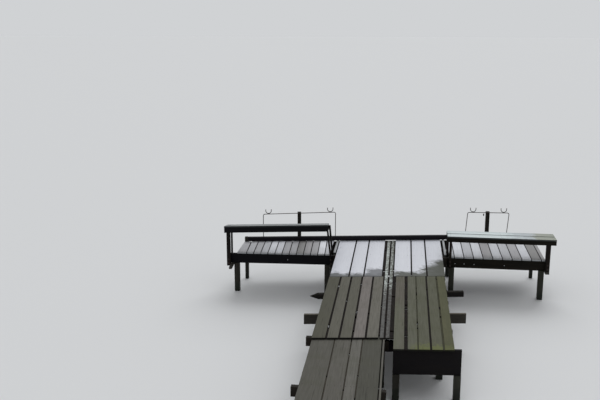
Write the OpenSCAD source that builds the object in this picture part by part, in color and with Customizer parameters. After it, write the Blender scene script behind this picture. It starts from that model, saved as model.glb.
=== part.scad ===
/* [Levels] */
// Height of the deck's walking surface over the feet of the piles
deck_h = 700; // [450:10:1500]
// Thickness of every deck, wing and gangway board
board_t = 28; // [18:1:50]
// Depth of the fascias, far beams and the bearer between them
beam_h = 165; // [120:1:240]
// Width of the fascias, far beams and the bearer between them
beam_w = 60; // [40:1:90]

/* [Deck boards] */
// Widths of the three boards at the lake end of the left strip, outer one first
left_head_w = [286, 208, 270]; // [100:1:300]
// Gap between those boards
left_head_gap = 20; // [6:1:30]
// Widths of the three boards at the lake end of the right strip, inner one first
right_head_w = [261, 220, 268]; // [100:1:300]
// Gap between those boards
right_head_gap = 21; // [6:1:30]
// Width of the narrow board between the left strip and the left wing
left_edge_w = 40; // [25:1:80]
// Width of the narrow board between the right strip and the right wing
right_edge_w = 38; // [25:1:60]
// Gap between the left narrow board and its wide neighbour
left_edge_gap = 16; // [5:1:40]
// Gap between the right narrow board and its wide neighbour
right_edge_gap = 34; // [5:1:40]
// How far the narrow boards stop short of the bearer in line with the fascias
edge_back = 40; // [0:1:200]
// Widths of the five boards of the left strip's shore half, inner one first
left_deck_w = [145, 143, 142, 139, 172]; // [90:1:180]
// Gap between them
left_deck_gap = 24; // [8:1:30]
// Widths of the five boards of the right strip's shore half, inner one first
right_deck_w = [134, 121, 139, 133, 119]; // [80:1:150]
// Gaps between them
right_deck_gap = [42, 14, 22, 22]; // [8:1:45]
// Inner edge of the left strip, measured from the middle of the gap between the strips
left_inner_x = 75; // [60:1:120]
// How far the left strip's lake half stands back from that edge
left_head_back = 28; // [0:1:40]
// Inner edge of the right strip, measured from the same middle
right_inner_x = 85; // [60:1:120]
// How far the right strip's shore half stands back from that edge
right_deck_back = 33; // [0:1:50]
// Distance from the kerb to the joint between the two halves
joint_y = 2040; // [1600:10:2600]
// Gap at that joint
joint_gap = 8; // [2:1:20]
// Distance from the kerb to the shore end of the left strip
left_end_y = 4455; // [3800:10:5200]
// How far the right strip runs on past the left strip's shore end
right_end_past = 355; // [250:5:900]
// Turn of the deck's joint and left end out of square
deck_skew = 8; // [0:0.1:12]
// Turn of the right strip's shore end out of square
right_end_skew = 5; // [0:0.1:12]
// Width of each lath in the gap between the strips
lath_w = 48; // [25:1:60]
// Gap between the two laths
lath_gap = 26; // [8:1:40]
// How far the laths lie below the walking surface
lath_drop = 6; // [1:1:20]

/* [Deck frame] */
// Depth of the cleats under the boards
cleat_h = 50; // [30:1:70]
// Width of the cleats
cleat_w = 70; // [45:1:100]
// Number of cleats between the joint and the deck's shore end
deck_cleat_count = 4; // [2:1:6]
// Width of the cleat under the board joint
joint_cleat_w = 120; // [80:1:160]
// Width of the stringers that run under the cleats
stringer_w = 50; // [35:1:80]
// Depth of those stringers
stringer_h = 90; // [70:1:120]
// Distance from the kerb to the bearer in line with the fascias
mid_y = 930; // [850:5:1200]
// Turn of that bearer out of square
mid_skew = 3.2; // [0:0.1:6]
// Diameter of the log under the deck
log_d = 105; // [80:1:140]
// Depth of the flat hewn on top of the log
log_flat = 7; // [3:1:12]
// Length of the log's pointed end
log_point = 130; // [60:5:220]
// Distance from the kerb to the log
log_y = 2290; // [2180:5:2500]
// Turn of the log out of square
log_skew = 10; // [0:0.1:12]
// How far the log stands out beyond the deck's edges
log_out = 290; // [150:5:400]
// Distance from the kerb to the plank cap
plank_y = 3200; // [2900:10:3500]
// Distance from the left strip's shore end to the last cap
near_cap_in = 285; // [200:5:500]
// Distance from the right strip's shore end to its own cap
end_cap_in = 70; // [40:5:160]
// Depth of that cap, which stands right under the boards
end_cap_h = 330; // [200:5:360]
// How far that cap stands out beyond the deck's right edge
end_cap_out = 80; // [20:5:200]
// Thickness of the plank cap, the last cap and the right strip's own
cap_w = 50; // [38:1:80]
// Depth of the plank cap and the last cap
cap_h = 145; // [110:1:200]
// How far the plank cap stands out beyond the deck's edges
cap_out = 250; // [80:5:320]

/* [Kerb and wings] */
// Height of the kerb
kerb_h = 75; // [40:1:110]
// Width of the kerb
kerb_w = 70; // [64:1:110]
// Turn of the kerb over the deck and left wing out of square
kerb_skew = 9.3; // [0:0.1:12]
// Turn of the right wing's kerb out of square
right_kerb_skew = 3.5; // [0:0.1:8]
// Where the two kerbs meet, from the middle of the gap between the strips
kerb_meet_x = 1000; // [960:1:1040]
// Gap where they meet
kerb_gap = 4; // [1:1:10]
// Distance from the deck's left edge to the left wing
left_slot = 50; // [50:1:80]
// Distance from the deck's right edge to the right wing
right_slot = 46; // [44:1:80]
// Width of the left wing, from the slot to its outer edge
left_wing_w = 1582; // [1200:5:2000]
// Width of the right wing, from the slot to its outer edge
right_wing_w = 1563; // [1200:1:2000]
// Distance from the kerb's middle to the face of the left wing's fascia
left_fascia_y = 940; // [850:5:1200]
// Turn of that fascia out of square
left_wing_skew = 2.9; // [0:0.1:6]
// Distance from the kerb's middle to the face of the right wing's fascia
right_fascia_y = 880; // [850:5:1200]
// Turn of that fascia out of square
right_wing_skew = 0.5; // [0:0.1:6]
// Sideways drift of the left wing's slats over their length, as an angle
left_slat_turn = 2.6; // [0:0.1:5]
// Spacing of the left wing's slats
left_slat_pitch = 121.5; // [90:0.5:180]
// Width of the slat at the left wing's inner end, with its gap
left_first_slat = 90; // [40:1:120]
// Spacing of the right wing's slats
right_slat_pitch = 158; // [100:1:200]
// Width of the slat at the right wing's inner end, with its gap
right_first_slat = 87; // [40:1:120]
// Gap between the slats
slat_gap = 12; // [5:1:25]

/* [Piles] */
// Side of each square pile under the deck and wings
pile_w = 88; // [60:1:130]
// Distance from the deck's edge to a pile under a cap
pile_in = 150; // [90:5:300]
// How far the right wing's outer pile stands in from the wing's outer edge
right_pile_in = 6; // [0:1:60]
// How far the left wing's outer pile stands out beyond the wing's outer edge
left_pile_out = 54; // [0:1:60]
// Height of the corner posts' heads over the walking surface
corner_head = 80; // [40:1:140]
// Side of a corner post
corner_w = 62; // [45:1:90]

/* [Benches] */
// Thickness of the seat boards
seat_t = 28; // [20:1:45]
// Width of each seat board
seat_board_w = 175; // [120:1:200]
// Gap between the two seat boards
seat_gap = 24; // [6:1:30]
// Depth of the aprons under the left seat
left_apron_h = 86; // [30:1:100]
// Depth of the aprons under the right seat
right_apron_h = 72; // [30:1:80]
// Thickness of the aprons
apron_t = 28; // [18:1:40]
// How far the aprons stand in from the seat's long edges
apron_in = 4; // [0:1:20]
// Clearance between the left legs and the sloping aprons
leg_fit = 1; // [0.5:0.5:5]
// How far the left seat overhangs its outer legs
left_seat_over = 28; // [5:1:80]
// How far the right seat overhangs its outer legs
right_seat_over = 79; // [5:1:120]
// Distance from the left seat's inner end to the middle of the gap between the strips
left_seat_end = 1038; // [1000:1:1042]
// Distance from the right seat's inner end to the middle of the gap between the strips
right_seat_end = 945; // [900:1:947]
// Height of the left seat's shore edge over the deck, at its middle
left_seat_h = 504; // [380:1:600]
// Rise of the left seat towards the deck
left_seat_rise = 1.9; // [0:0.1:4]
// Slope of the left seat down to the lake
left_seat_slope = 10.5; // [0:0.1:12]
// Height of the right seat over the deck
right_seat_h = 373; // [300:1:520]
// How far the inner legs reach down below the walking surface
leg_drop = 200; // [170:5:260]
// Depth of every leg, along the slats
leg_d = 48; // [35:1:70]
// Width of the outer legs on the shore side
outer_leg_w = 65; // [45:1:90]
// Width of the outer legs on the lake side
far_leg_w = 28; // [24:1:44]
// Width of the left bench's inner legs
left_inner_leg_w = 30; // [24:1:31]
// Width of the right bench's inner legs
right_inner_leg_w = 40; // [30:1:43]
// Gap between the left wing and its bench's outer legs
left_leg_out = 110; // [60:1:130]
// Gap between the right wing and its bench's outer legs
right_leg_out = 4; // [0:1:120]
// Lean of the left bench's inner leg on the shore side
near_lean = 6.7; // [0:0.1:8]
// Lean of the left bench's inner leg on the lake side
far_lean = 5.5; // [0:0.1:5.5]
// Clearance between the leaning leg on the shore side and the deck's edge
lean_fit = 2; // [1:1:8]
// Distance from the deck's right edge to the right bench's inner leg on the shore side
near_leg_out = 37; // [20:1:80]
// Gap between a fascia's inner end and the deck
fascia_gap = 6; // [2:1:20]
// Depth of the foot rails that brace the outer legs
rail_h = 40; // [30:1:90]
// Width of the left foot rail
rail_w = 50; // [30:1:55]
// How far the left foot rail runs on past the legs, on the shore side
left_rail_near = 190; // [5:5:300]
// How far the right foot rail runs on past the legs, on the shore side
right_rail_near = 10; // [5:5:300]
// How far the foot rails run on past the legs, on the lake side
rail_far = 70; // [5:5:300]

/* [Rod rests] */
// Side of each square post
post_w = 66; // [45:1:90]
// How far the posts reach down below the walking surface
post_drop = 150; // [80:5:180]
// Diameter of the bent rod
rod_d = 12; // [8:0.5:20]
// Radius of the rod's bends, at its middle line
rod_bend = 30; // [16:1:60]
// Middle of the left rest, from the middle of the gap between the strips
left_rest_x = 1625; // [1500:5:1700]
// Distance between the left rest's two feet
left_rest_w = 1290; // [900:5:1360]
// Height of the left bar over the deck, at its middle
left_rest_h = 506; // [350:5:650]
// Rise of the left bar towards the deck
left_rest_rise = 1.2; // [0:0.1:4]
// Middle of the right rest, from the middle of the gap between the strips
right_rest_x = 1715; // [1650:5:1850]
// Distance between the right rest's two feet
right_rest_w = 730; // [500:5:900]
// Height of the right bar over the deck
right_rest_h = 505; // [350:5:650]
// Lean of the right rest's legs, along the kerb
right_rest_lean = 4; // [0:0.5:8]
// Width of a cradle between the middle lines of its prongs
cradle_w = 98; // [60:1:130]
// Height of a cradle's prongs over its bend
cradle_h = 24; // [10:1:80]
// Distance from a foot of the rod to the middle of a cradle
cradle_in = 95; // [75:1:160]

/* [Gangway] */
// Widths of the gangway's boards, outer one first
gang_w = [285, 200, 125, 235]; // [100:1:300]
// Gap between them
gang_gap = 12; // [5:1:25]
// Clearance between the gangway's boards and the deck's last cleat
gang_fit = 4; // [2:1:20]
// Distance from the middle of the gap between the strips to the gangway's inner edge
gang_inner_x = 27; // [0:1:60]
// Number of bays that the gangway runs on
gang_bays = 3; // [1:1:6]
// Length of a bay
gang_bay = 1400; // [900:10:1600]
// Distance from the left strip's shore end to the gangway's first cap
gang_in = 35; // [0:5:50]
// How far the gangway's boards run on past its last cap
gang_over = 90; // [20:5:200]
// Depth of the gangway's caps
gang_cap_h = 120; // [80:1:180]
// Thickness of the gangway's caps
gang_cap_w = 70; // [45:1:100]
// How far the caps stand out beyond the gangway's boards
gang_cap_out = 90; // [20:1:200]
// Side of each square pile under the gangway
gang_pile_w = 80; // [50:1:120]
// Width of the narrow strip along the gangway's inner edge
side_w = 24; // [12:1:40]

/* [Hidden] */
$fn = 32;

seat_d = 2 * seat_board_w + seat_gap;
function total(v, n) = n <= 0 ? 0 : v[n - 1] + total(v, n - 1);
function row_width(v, gap) = total(v, len(v)) + (len(v) - 1) * gap;

// Levels, from the walking surface down
under_boards = deck_h - board_t;
stringer_top = under_boards - cleat_h;
cap_top = stringer_top - stringer_h;
beam_under = under_boards - beam_h;
gang_top = under_boards;
gang_under = gang_top - board_t;

// Plan of the two strips
near_cap_y = left_end_y - near_cap_in;
right_end_y = left_end_y + right_end_past;
end_cap_y = right_end_y - end_cap_in;
gang_y = left_end_y - gang_in;
left_head_total = row_width(left_head_w, left_head_gap);
right_head_total = row_width(right_head_w, right_head_gap);
left_head_x = left_inner_x + left_head_back;
left_strip_x = left_head_x + left_head_total;
right_strip_x = right_inner_x + right_head_total;
right_deck_x = right_inner_x + right_deck_back;
left_x = left_strip_x + left_edge_gap + left_edge_w;
right_x = right_strip_x + right_edge_gap + right_edge_w;

// Plan of the wings
left_wing_in = left_x + left_slot;
left_wing_out = left_wing_in + left_wing_w;
right_wing_in = right_x + right_slot;
right_wing_out = right_wing_in + right_wing_w;

// Lines across the jetty: each is a distance towards the lake, at a place across
function slant(y, a, x) = y + tan(a) * x;
function kerb_line(x) = slant(0, kerb_skew, x);
function kerb_back(x) = kerb_line(x) + kerb_w / cos(kerb_skew);
right_kerb_y = kerb_line(kerb_meet_x) - tan(right_kerb_skew) * kerb_meet_x;
function right_kerb_line(x) = slant(right_kerb_y, right_kerb_skew, x);
function left_fascia_line(x) = slant(-left_fascia_y, left_wing_skew, x);
function right_fascia_line(x) = slant(-right_fascia_y, right_wing_skew, x);

// The benches: where their outer legs stand, and the seats' lengths and middles
left_leg_x = left_wing_out + left_leg_out;
right_leg_x = right_wing_out + right_leg_out;
left_seat_out = left_leg_x + outer_leg_w + left_seat_over;
left_seat_len = left_seat_out - left_seat_end;
left_seat_mid = -(left_seat_out + left_seat_end) / 2;
right_seat_out = right_leg_x + outer_leg_w + right_seat_over;
right_seat_len = right_seat_out - right_seat_end;
right_seat_mid = (right_seat_out + right_seat_end) / 2;

// The whole jetty's reach, for an origin under its middle: on the left to the turned seat's far
// corner, on the lake side to a rod rest's post or a corner post
reach_left = -left_seat_mid + left_seat_len / 2 * cos(left_seat_rise) * cos(left_wing_skew)
    + (seat_d * cos(left_seat_slope) - left_seat_len / 2 * sin(left_seat_rise) * sin(left_seat_slope))
        * sin(left_wing_skew);
reach_right = right_seat_out;
reach_lake = max(right_kerb_line(right_wing_out) + corner_w,
    right_kerb_line(right_rest_x) + (kerb_w + post_w) * cos(right_kerb_skew)
        + post_w / 2 * sin(right_kerb_skew));
gang_end = gang_y + gang_bays * gang_bay + gang_cap_w / 2 + gang_over;
module place() {
    translate([(reach_left - reach_right) / 2, (gang_end - reach_lake) / 2, 0]) children();
}

// A board between two places across, with its ends on two slanting lines
module board(x1, x2, near1, near2, far1, far2, top, t) {
    translate([0, 0, top - t]) linear_extrude(t)
        polygon([[x1, near1], [x2, near2], [x2, far2], [x1, far1]]);
}

// A timber along a slanting line, with its ends cut along the boards
module timber(x1, x2, y, a, w, h, top) {
    board(x1, x2, slant(y, a, x1), slant(y, a, x2), slant(y, a, x1) + w / cos(a),
        slant(y, a, x2) + w / cos(a), top, h);
}

// A row of boards of listed widths and gaps, from x on
module head_row(x, w, gap) {
    for (i = [0 : len(w) - 1]) {
        x1 = x + total(w, i) + i * gap;
        x2 = x1 + w[i];
        board(x1, x2, slant(-joint_y + joint_gap / 2, deck_skew, x1),
            slant(-joint_y + joint_gap / 2, deck_skew, x2), kerb_back(x1), kerb_back(x2),
            deck_h, board_t);
    }
}

module left_head_boards() {
    color("#b9bcc4") place() head_row(-left_head_x - left_head_total, left_head_w, left_head_gap);
}

module right_head_boards() {
    color("#b9bcc4") place() head_row(right_inner_x, right_head_w, right_head_gap);
}

// The narrow boards run from the kerb almost to the fascias' line
module edge_board(x1, x2) {
    near = mid_y - beam_w - edge_back;
    board(x1, x2, slant(-near, mid_skew, x1), slant(-near, mid_skew, x2), kerb_back(x1), kerb_back(x2),
        deck_h, board_t);
}

module left_edge_board() {
    color("#8b8f93") place() edge_board(-left_x, -left_x + left_edge_w);
}

module right_edge_board() {
    color("#8b8f93") place() edge_board(right_x - right_edge_w, right_x);
}

module deck_board(x1, x2, end_y, end_a) {
    board(x1, x2, slant(-end_y, end_a, x1), slant(-end_y, end_a, x2),
        slant(-joint_y - joint_gap / 2, deck_skew, x1),
        slant(-joint_y - joint_gap / 2, deck_skew, x2), deck_h, board_t);
}

module left_deck_boards() {
    color("#63645d") place() for (i = [0 : len(left_deck_w) - 1]) {
        x2 = -left_inner_x - total(left_deck_w, i) - i * left_deck_gap;
        deck_board(x2 - left_deck_w[i], x2, left_end_y, deck_skew);
    }
}

module right_deck_boards() {
    color("#66675f") place() for (i = [0 : len(right_deck_w) - 1]) {
        x1 = right_deck_x + total(right_deck_w, i) + total(right_deck_gap, i);
        deck_board(x1, x1 + right_deck_w[i], right_end_y, right_end_skew);
    }
}

// Two laths lie in the gap between the strips, down to the left strip's end
module centre_laths() {
    middle = (right_inner_x - left_inner_x) / 2;
    color("#aab5ae") place() for (s = [-1, 1]) {
        x1 = middle + (s < 0 ? -lath_gap / 2 - lath_w : lath_gap / 2);
        x2 = x1 + lath_w;
        board(x1, x2, slant(-left_end_y, deck_skew, x1), slant(-left_end_y, deck_skew, x2),
            kerb_line(x1), kerb_line(x2), deck_h - lath_drop, board_t - lath_drop);
    }
}

// Cleats cross the stringers: between the kerb and the joint, under the joint, and on to the last cap
module cleat(y, w) {
    timber(-left_strip_x, right_strip_x, -y - w / 2, deck_skew, w, cleat_h, under_boards);
}
module deck_cleats() {
    bay = (near_cap_y - joint_y) / deck_cleat_count;
    color("#3d3a34") place() {
        timber(-left_x, right_x, -mid_y / 2, (kerb_skew + mid_skew) / 2, cleat_w, cleat_h, under_boards);
        cleat((mid_y + joint_y) / 2, cleat_w);
        cleat(joint_y, joint_cleat_w);
        for (k = [1 : deck_cleat_count]) cleat(joint_y + k * bay, cleat_w);
    }
}

// Places across of the left faces of the four stringers, in the lake half and in the shore half
inner_stringer_x = [-left_inner_x - left_head_back - stringer_w, right_deck_x];
head_stringer_x = concat([-left_x, right_x - stringer_w], inner_stringer_x);
deck_stringer_x = concat([-left_strip_x, right_strip_x - stringer_w], inner_stringer_x);

module head_stringers() {
    color("#2e2b27") place() for (x = head_stringer_x) {
        x2 = x + stringer_w;
        board(x, x2, slant(-mid_y, mid_skew, x) + beam_w / cos(mid_skew),
            slant(-mid_y, mid_skew, x2) + beam_w / cos(mid_skew),
            kerb_back(x) - beam_w / cos(kerb_skew), kerb_back(x2) - beam_w / cos(kerb_skew),
            stringer_top, stringer_h);
    }
}

// The left strip's stringers end over the last cap, and the right one's against its own cap
function stringer_end(x) = x < 0 ? slant(-near_cap_y - cleat_w / 2, deck_skew, x)
    : slant(-end_cap_y - cap_w / 2, right_end_skew, x) + cap_w / cos(right_end_skew);
module deck_stringers() {
    color("#2e2b27") place() for (x = deck_stringer_x) {
        x2 = x + stringer_w;
        board(x, x2, stringer_end(x), stringer_end(x2), slant(-mid_y, mid_skew, x),
            slant(-mid_y, mid_skew, x2), stringer_top, stringer_h);
    }
}

module mid_bearer() {
    color("#26231f") place() timber(-left_x, right_x, -mid_y, mid_skew, beam_w, beam_h, under_boards);
}

// The log is hewn flat on top, pointed at its left end and sawn off at its right
module log_cap() {
    r = log_d / 2;
    left = left_strip_x + log_out;
    right = right_strip_x + log_out;
    color("#5a5348") place() translate([0, -log_y, cap_top + log_flat - r]) rotate([0, 0, log_skew])
        difference() {
            rotate([0, 90, 0]) {
                translate([0, 0, -left + log_point]) cylinder(d = log_d, h = left + right - log_point);
                translate([0, 0, -left]) cylinder(d1 = log_flat, d2 = log_d, h = log_point);
            }
            translate([-left - 1, -r, r - log_flat]) cube([left + right + 2, log_d, r]);
        }
}

module plank_cap() {
    color("#57534b") place()
        timber(-left_strip_x - cap_out, right_strip_x + cap_out, -plank_y - cap_w / 2, deck_skew, cap_w,
            cap_h, cap_top);
}

// The last cap crosses both strips. The right strip's own, near its shore end, is deeper.
module near_caps() {
    color("#2f2c28") place() {
        timber(-left_strip_x, right_strip_x, -near_cap_y - cap_w / 2, deck_skew, cap_w, cap_h, cap_top);
        timber(right_deck_x, right_strip_x + end_cap_out, -end_cap_y - cap_w / 2, right_end_skew, cap_w,
            end_cap_h, under_boards);
    }
}

module pile(x, y, w, top) {
    translate([x - w / 2, y - w / 2, 0]) cube([w, w, top]);
}

// The piles under the log are scribed to it
module deck_piles() {
    color("#33302a") place() for (x = [-left_strip_x + pile_in, right_strip_x - pile_in]) {
        pile(x, slant(-mid_y, mid_skew, x) + beam_w / 2, pile_w, beam_under);
        difference() {
            pile(x, slant(-log_y, log_skew, x), pile_w, cap_top - log_d / 2);
            translate([0, -log_y, cap_top + log_flat - log_d / 2]) rotate([0, 0, log_skew])
                rotate([0, 90, 0]) translate([0, 0, -left_strip_x])
                    cylinder(d = log_d, h = left_strip_x + right_strip_x);
        }
        pile(x, slant(-plank_y, deck_skew, x), pile_w, cap_top - cap_h);
        pile(x, slant(-near_cap_y, deck_skew, x), pile_w, cap_top - cap_h);
    }
    color("#33302a") place() for (x = [right_deck_x + pile_w / 2, right_strip_x + end_cap_out - pile_w / 2])
        pile(x, slant(-end_cap_y, right_end_skew, x), pile_w, under_boards - end_cap_h);
}

// The far beams lie under the kerb, flush with its lake face
module left_far_beam() {
    color("#26231f") place()
        timber(-left_wing_out + corner_w, kerb_meet_x, (kerb_w - beam_w) / cos(kerb_skew), kerb_skew,
            beam_w, beam_h, under_boards);
}

module right_far_beam() {
    color("#26231f") place()
        timber(kerb_meet_x + kerb_gap, right_wing_out - corner_w,
            right_kerb_y + (kerb_w - beam_w) / cos(right_kerb_skew), right_kerb_skew, beam_w, beam_h,
            under_boards);
}

module left_kerb() {
    color("#1b1a18") place() timber(-left_wing_out + corner_w, kerb_meet_x, 0, kerb_skew, kerb_w, kerb_h,
        deck_h + kerb_h);
}

module right_kerb() {
    color("#1b1a18") place() timber(kerb_meet_x + kerb_gap, right_wing_out - corner_w, right_kerb_y,
        right_kerb_skew, kerb_w, kerb_h, deck_h + kerb_h);
}

// Slats from the slot outwards: a narrow one first, then whole ones, the last cut to the wing's edge.
// The last one stops at the kerb's face, in front of the corner post.
function slat_count(w, first, pitch) = ceil((w - first - pitch / 3) / pitch);
function slat_from(k, first, pitch) = k == 0 ? 0 : first + (k - 1) * pitch;
function slat_to(k, n, w, first, pitch) = k == n ? w : first + k * pitch - slat_gap;

module left_wing_slats() {
    n = slat_count(left_wing_w, left_first_slat, left_slat_pitch);
    color("#b9b8bd") place() for (k = [0 : n]) {
        x1 = -left_wing_in - slat_to(k, n, left_wing_w, left_first_slat, left_slat_pitch);
        x2 = -left_wing_in - slat_from(k, left_first_slat, left_slat_pitch);
        drift = tan(left_slat_turn) * left_fascia_y;
        far1 = k == n ? x1 : x1 - drift;
        far2 = k == 0 ? x2 : x2 - drift;
        back = k == n ? 0 : kerb_w / cos(kerb_skew);
        translate([0, 0, under_boards]) linear_extrude(board_t)
            polygon([[x1, left_fascia_line(x1)], [x2, left_fascia_line(x2)],
                [far2, kerb_line(far2) + back], [far1, kerb_line(far1) + back]]);
    }
}

module right_wing_slats() {
    n = slat_count(right_wing_w, right_first_slat, right_slat_pitch);
    color("#b9b8bd") place() for (k = [0 : n]) {
        x1 = right_wing_in + slat_from(k, right_first_slat, right_slat_pitch);
        x2 = right_wing_in + slat_to(k, n, right_wing_w, right_first_slat, right_slat_pitch);
        back = k == n ? 0 : kerb_w / cos(right_kerb_skew);
        board(x1, x2, right_fascia_line(x1), right_fascia_line(x2), right_kerb_line(x1) + back,
            right_kerb_line(x2) + back, deck_h, board_t);
    }
}

// The fascias run from beside the deck to the outer faces of the outer legs
module left_fascia() {
    color("#14120f") place() timber(-left_leg_x - outer_leg_w, -left_x - fascia_gap, -left_fascia_y,
        left_wing_skew, beam_w, beam_h, under_boards);
}

module right_fascia() {
    color("#14120f") place() timber(right_x + fascia_gap, right_leg_x + outer_leg_w, -right_fascia_y,
        right_wing_skew, beam_w, beam_h, under_boards);
}

// The left legs are set out from the fascia's shore face, which the near ones are nailed to. The
// far ones stand just clear of the sloping apron. The seats' shore edges follow from the legs.
leg_back = apron_in + apron_t;
left_seat_y = left_fascia_y + (leg_d + leg_back) / cos(left_wing_skew);
left_leg_span = (seat_d - 2 * leg_back) * cos(left_seat_slope)
    - (seat_t + left_apron_h) * sin(left_seat_slope) - leg_fit;
right_near_leg_x = right_x + near_leg_out;
right_leg_y = right_fascia_line(right_near_leg_x) - leg_d;
right_seat_y = leg_back - right_leg_y;
right_leg_span = seat_d - 2 * leg_back;

module at_left_fascia(x) {
    translate([x, left_fascia_line(x), 0]) rotate([0, 0, left_wing_skew]) children();
}

// The foot rails lie under the fascias' ends. The left outer legs run down beside theirs, and the
// right ones stand on theirs.
module foot_rail(w, near, span) {
    translate([0, -leg_d - near, beam_under - rail_h]) cube([w, near + span + rail_far, rail_h]);
}

module left_foot_rail() {
    color("#3c3a36") place() at_left_fascia(-left_leg_x) foot_rail(rail_w, left_rail_near, left_leg_span);
}

module right_foot_rail() {
    color("#3c3a36") place() translate([right_leg_x, right_leg_y + leg_d, 0])
        foot_rail(outer_leg_w, right_rail_near, right_leg_span);
}

// Three piles under each wing, and a post at its outer corner on the lake side
module wing_pile_row(xs, fascia_y, fascia_a, kerb_y, kerb_a) {
    for (x = xs) {
        pile(x, slant(fascia_y, fascia_a, x) + beam_w / 2, pile_w, beam_under);
        pile(x, slant(kerb_y, kerb_a, x) + kerb_w - beam_w / 2, pile_w, beam_under);
    }
}

module corner_post(x, y) {
    translate([x, y, 0]) cube([corner_w, corner_w, deck_h + corner_head]);
}

module left_wing_piles() {
    outer = -left_wing_out - left_pile_out + pile_w / 2;
    color("#332f28") place() {
        wing_pile_row([-left_wing_in - pile_w / 2], -left_fascia_y, left_wing_skew, 0, kerb_skew);
        pile(outer, left_fascia_line(outer) + beam_w / 2, pile_w, beam_under);
        corner_post(-left_wing_out, kerb_line(-left_wing_out + corner_w));
    }
}

module right_wing_piles() {
    outer = right_wing_out - right_pile_in - pile_w / 2;
    color("#332f28") place() {
        wing_pile_row([right_wing_in + pile_w / 2], -right_fascia_y, right_wing_skew, right_kerb_y,
            right_kerb_skew);
        pile(outer, right_fascia_line(outer) + beam_w / 2, pile_w, beam_under);
        corner_post(right_wing_out - corner_w, right_kerb_line(right_wing_out));
    }
}

// A bench is drawn from its shore edge's middle, on the seat's top, and then turned to its slopes
module at_left_seat() {
    translate([left_seat_mid, slant(-left_seat_y, left_wing_skew, left_seat_mid), deck_h + left_seat_h])
        rotate([0, 0, left_wing_skew]) rotate([-left_seat_slope, 0, 0]) rotate([0, -left_seat_rise, 0])
            children();
}
module at_right_seat() {
    translate([right_seat_mid, -right_seat_y, deck_h + right_seat_h]) children();
}

module seat(len) {
    for (k = [0, 1])
        translate([-len / 2, k * (seat_board_w + seat_gap), -seat_t]) cube([len, seat_board_w, seat_t]);
}

module aprons(len, h) {
    for (y = [apron_in, seat_d - apron_in - apron_t])
        translate([-len / 2, y, -seat_t - h]) cube([len, apron_t, h]);
}

module left_seat() {
    color("#7e8583") place() at_left_seat() seat(left_seat_len);
}

module right_seat() {
    color("#c4d2cf") place() at_right_seat() seat(right_seat_len);
}

module left_seat_aprons() {
    color("#141414") place() at_left_seat() aprons(left_seat_len, left_apron_h);
}

module right_seat_aprons() {
    color("#141414") place() at_right_seat() aprons(right_seat_len, right_apron_h);
}

// The legs stand up to the seat's underside. The left bench's inner legs lean away from the deck:
// the shore one along the fascia's face, the lake one up through the slot from the stringer's edge.
module leaning_leg(drop, lean) {
    translate([0, 0, deck_h - drop]) rotate([0, -lean, 0])
        translate([-left_inner_leg_w, 0, drop - leg_drop])
        cube([left_inner_leg_w, leg_d, leg_drop + left_seat_h + left_inner_leg_w]);
}

module left_bench_legs() {
    far_y = left_leg_span - 2 * leg_d;
    over = left_seat_len + seat_d;
    foot = beam_under - rail_h;
    seat_top = deck_h + left_seat_h;
    color("#1c1a18") place() difference() {
        union() {
            at_left_fascia(-left_leg_x) {
                translate([-outer_leg_w, -leg_d, foot]) cube([outer_leg_w, leg_d, seat_top - foot]);
                translate([-far_leg_w, far_y, foot]) cube([far_leg_w, leg_d, seat_top - foot]);
            }
            at_left_fascia(-left_x - lean_fit) translate([0, -leg_d, 0]) leaning_leg(leg_drop, near_lean);
            far_in_y = left_fascia_line(-left_x) + far_y - left_inner_leg_w * tan(left_wing_skew);
            translate([-left_x, far_in_y, 0]) leaning_leg(deck_h - cap_top, far_lean);
        }
        at_left_seat() translate([-over / 2, -seat_d, -seat_t]) cube([over, 3 * seat_d, seat_d]);
    }
}

module right_bench_legs() {
    seat_under = deck_h + right_seat_h - seat_t;
    far_y = right_leg_y + right_leg_span - leg_d;
    near_x = right_near_leg_x + right_inner_leg_w;
    color("#1c1a18") place() {
        board(right_near_leg_x, near_x, right_leg_y, right_leg_y, right_fascia_line(right_near_leg_x),
            right_fascia_line(near_x), seat_under, seat_under - beam_under);
        translate([right_x, far_y, deck_h - leg_drop])
            cube([right_inner_leg_w, leg_d, right_seat_h - seat_t + leg_drop]);
        translate([right_leg_x, right_leg_y, beam_under])
            cube([outer_leg_w, leg_d, seat_under - beam_under]);
        translate([right_leg_x + outer_leg_w - far_leg_w, far_y, beam_under])
            cube([far_leg_w, leg_d, seat_under - beam_under]);
    }
}

// A rod rest is drawn from the middle of its kerb, along the kerb, with its foot at the kerb's top
module at_left_rest() {
    translate([-left_rest_x, kerb_line(-left_rest_x), deck_h + kerb_h]) rotate([0, 0, kerb_skew])
        children();
}
module at_right_rest() {
    translate([right_rest_x, right_kerb_line(right_rest_x), deck_h + kerb_h])
        rotate([0, 0, right_kerb_skew]) children();
}

module rest_post(h) {
    translate([-post_w / 2, kerb_w, -kerb_h - post_drop])
        cube([post_w, post_w, post_drop + h + rod_d / 2]);
}

module rest_bar(w, h, rise) {
    straight = w - 2 * rod_bend;
    translate([0, kerb_w / 2, h - kerb_h]) rotate([0, -rise, 0]) {
        translate([-straight / 2, 0, 0]) rotate([0, 90, 0]) cylinder(d = rod_d, h = straight);
        for (s = [0, 1]) mirror([s, 0, 0]) translate([straight / 2, 0, -rod_bend]) rotate([90, 0, 0])
            rotate_extrude(angle = 90) translate([rod_bend, 0]) circle(d = rod_d);
    }
}

// A leg is cut off level at both ends
module rest_legs(w, h, rise, lean) {
    for (s = [-1, 1]) {
        leg_h = h - kerb_h - rod_bend + s * sin(rise) * w / 2;
        translate([s * w / 2 * cos(rise), kerb_w / 2, 0]) intersection() {
            translate([0, 0, leg_h]) rotate([0, lean, 0]) translate([0, 0, -h])
                cylinder(d = rod_d, h = 2 * h);
            translate([-h / 2, -rod_d, 0]) cube([h, 2 * rod_d, leg_h]);
        }
    }
}

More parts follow.
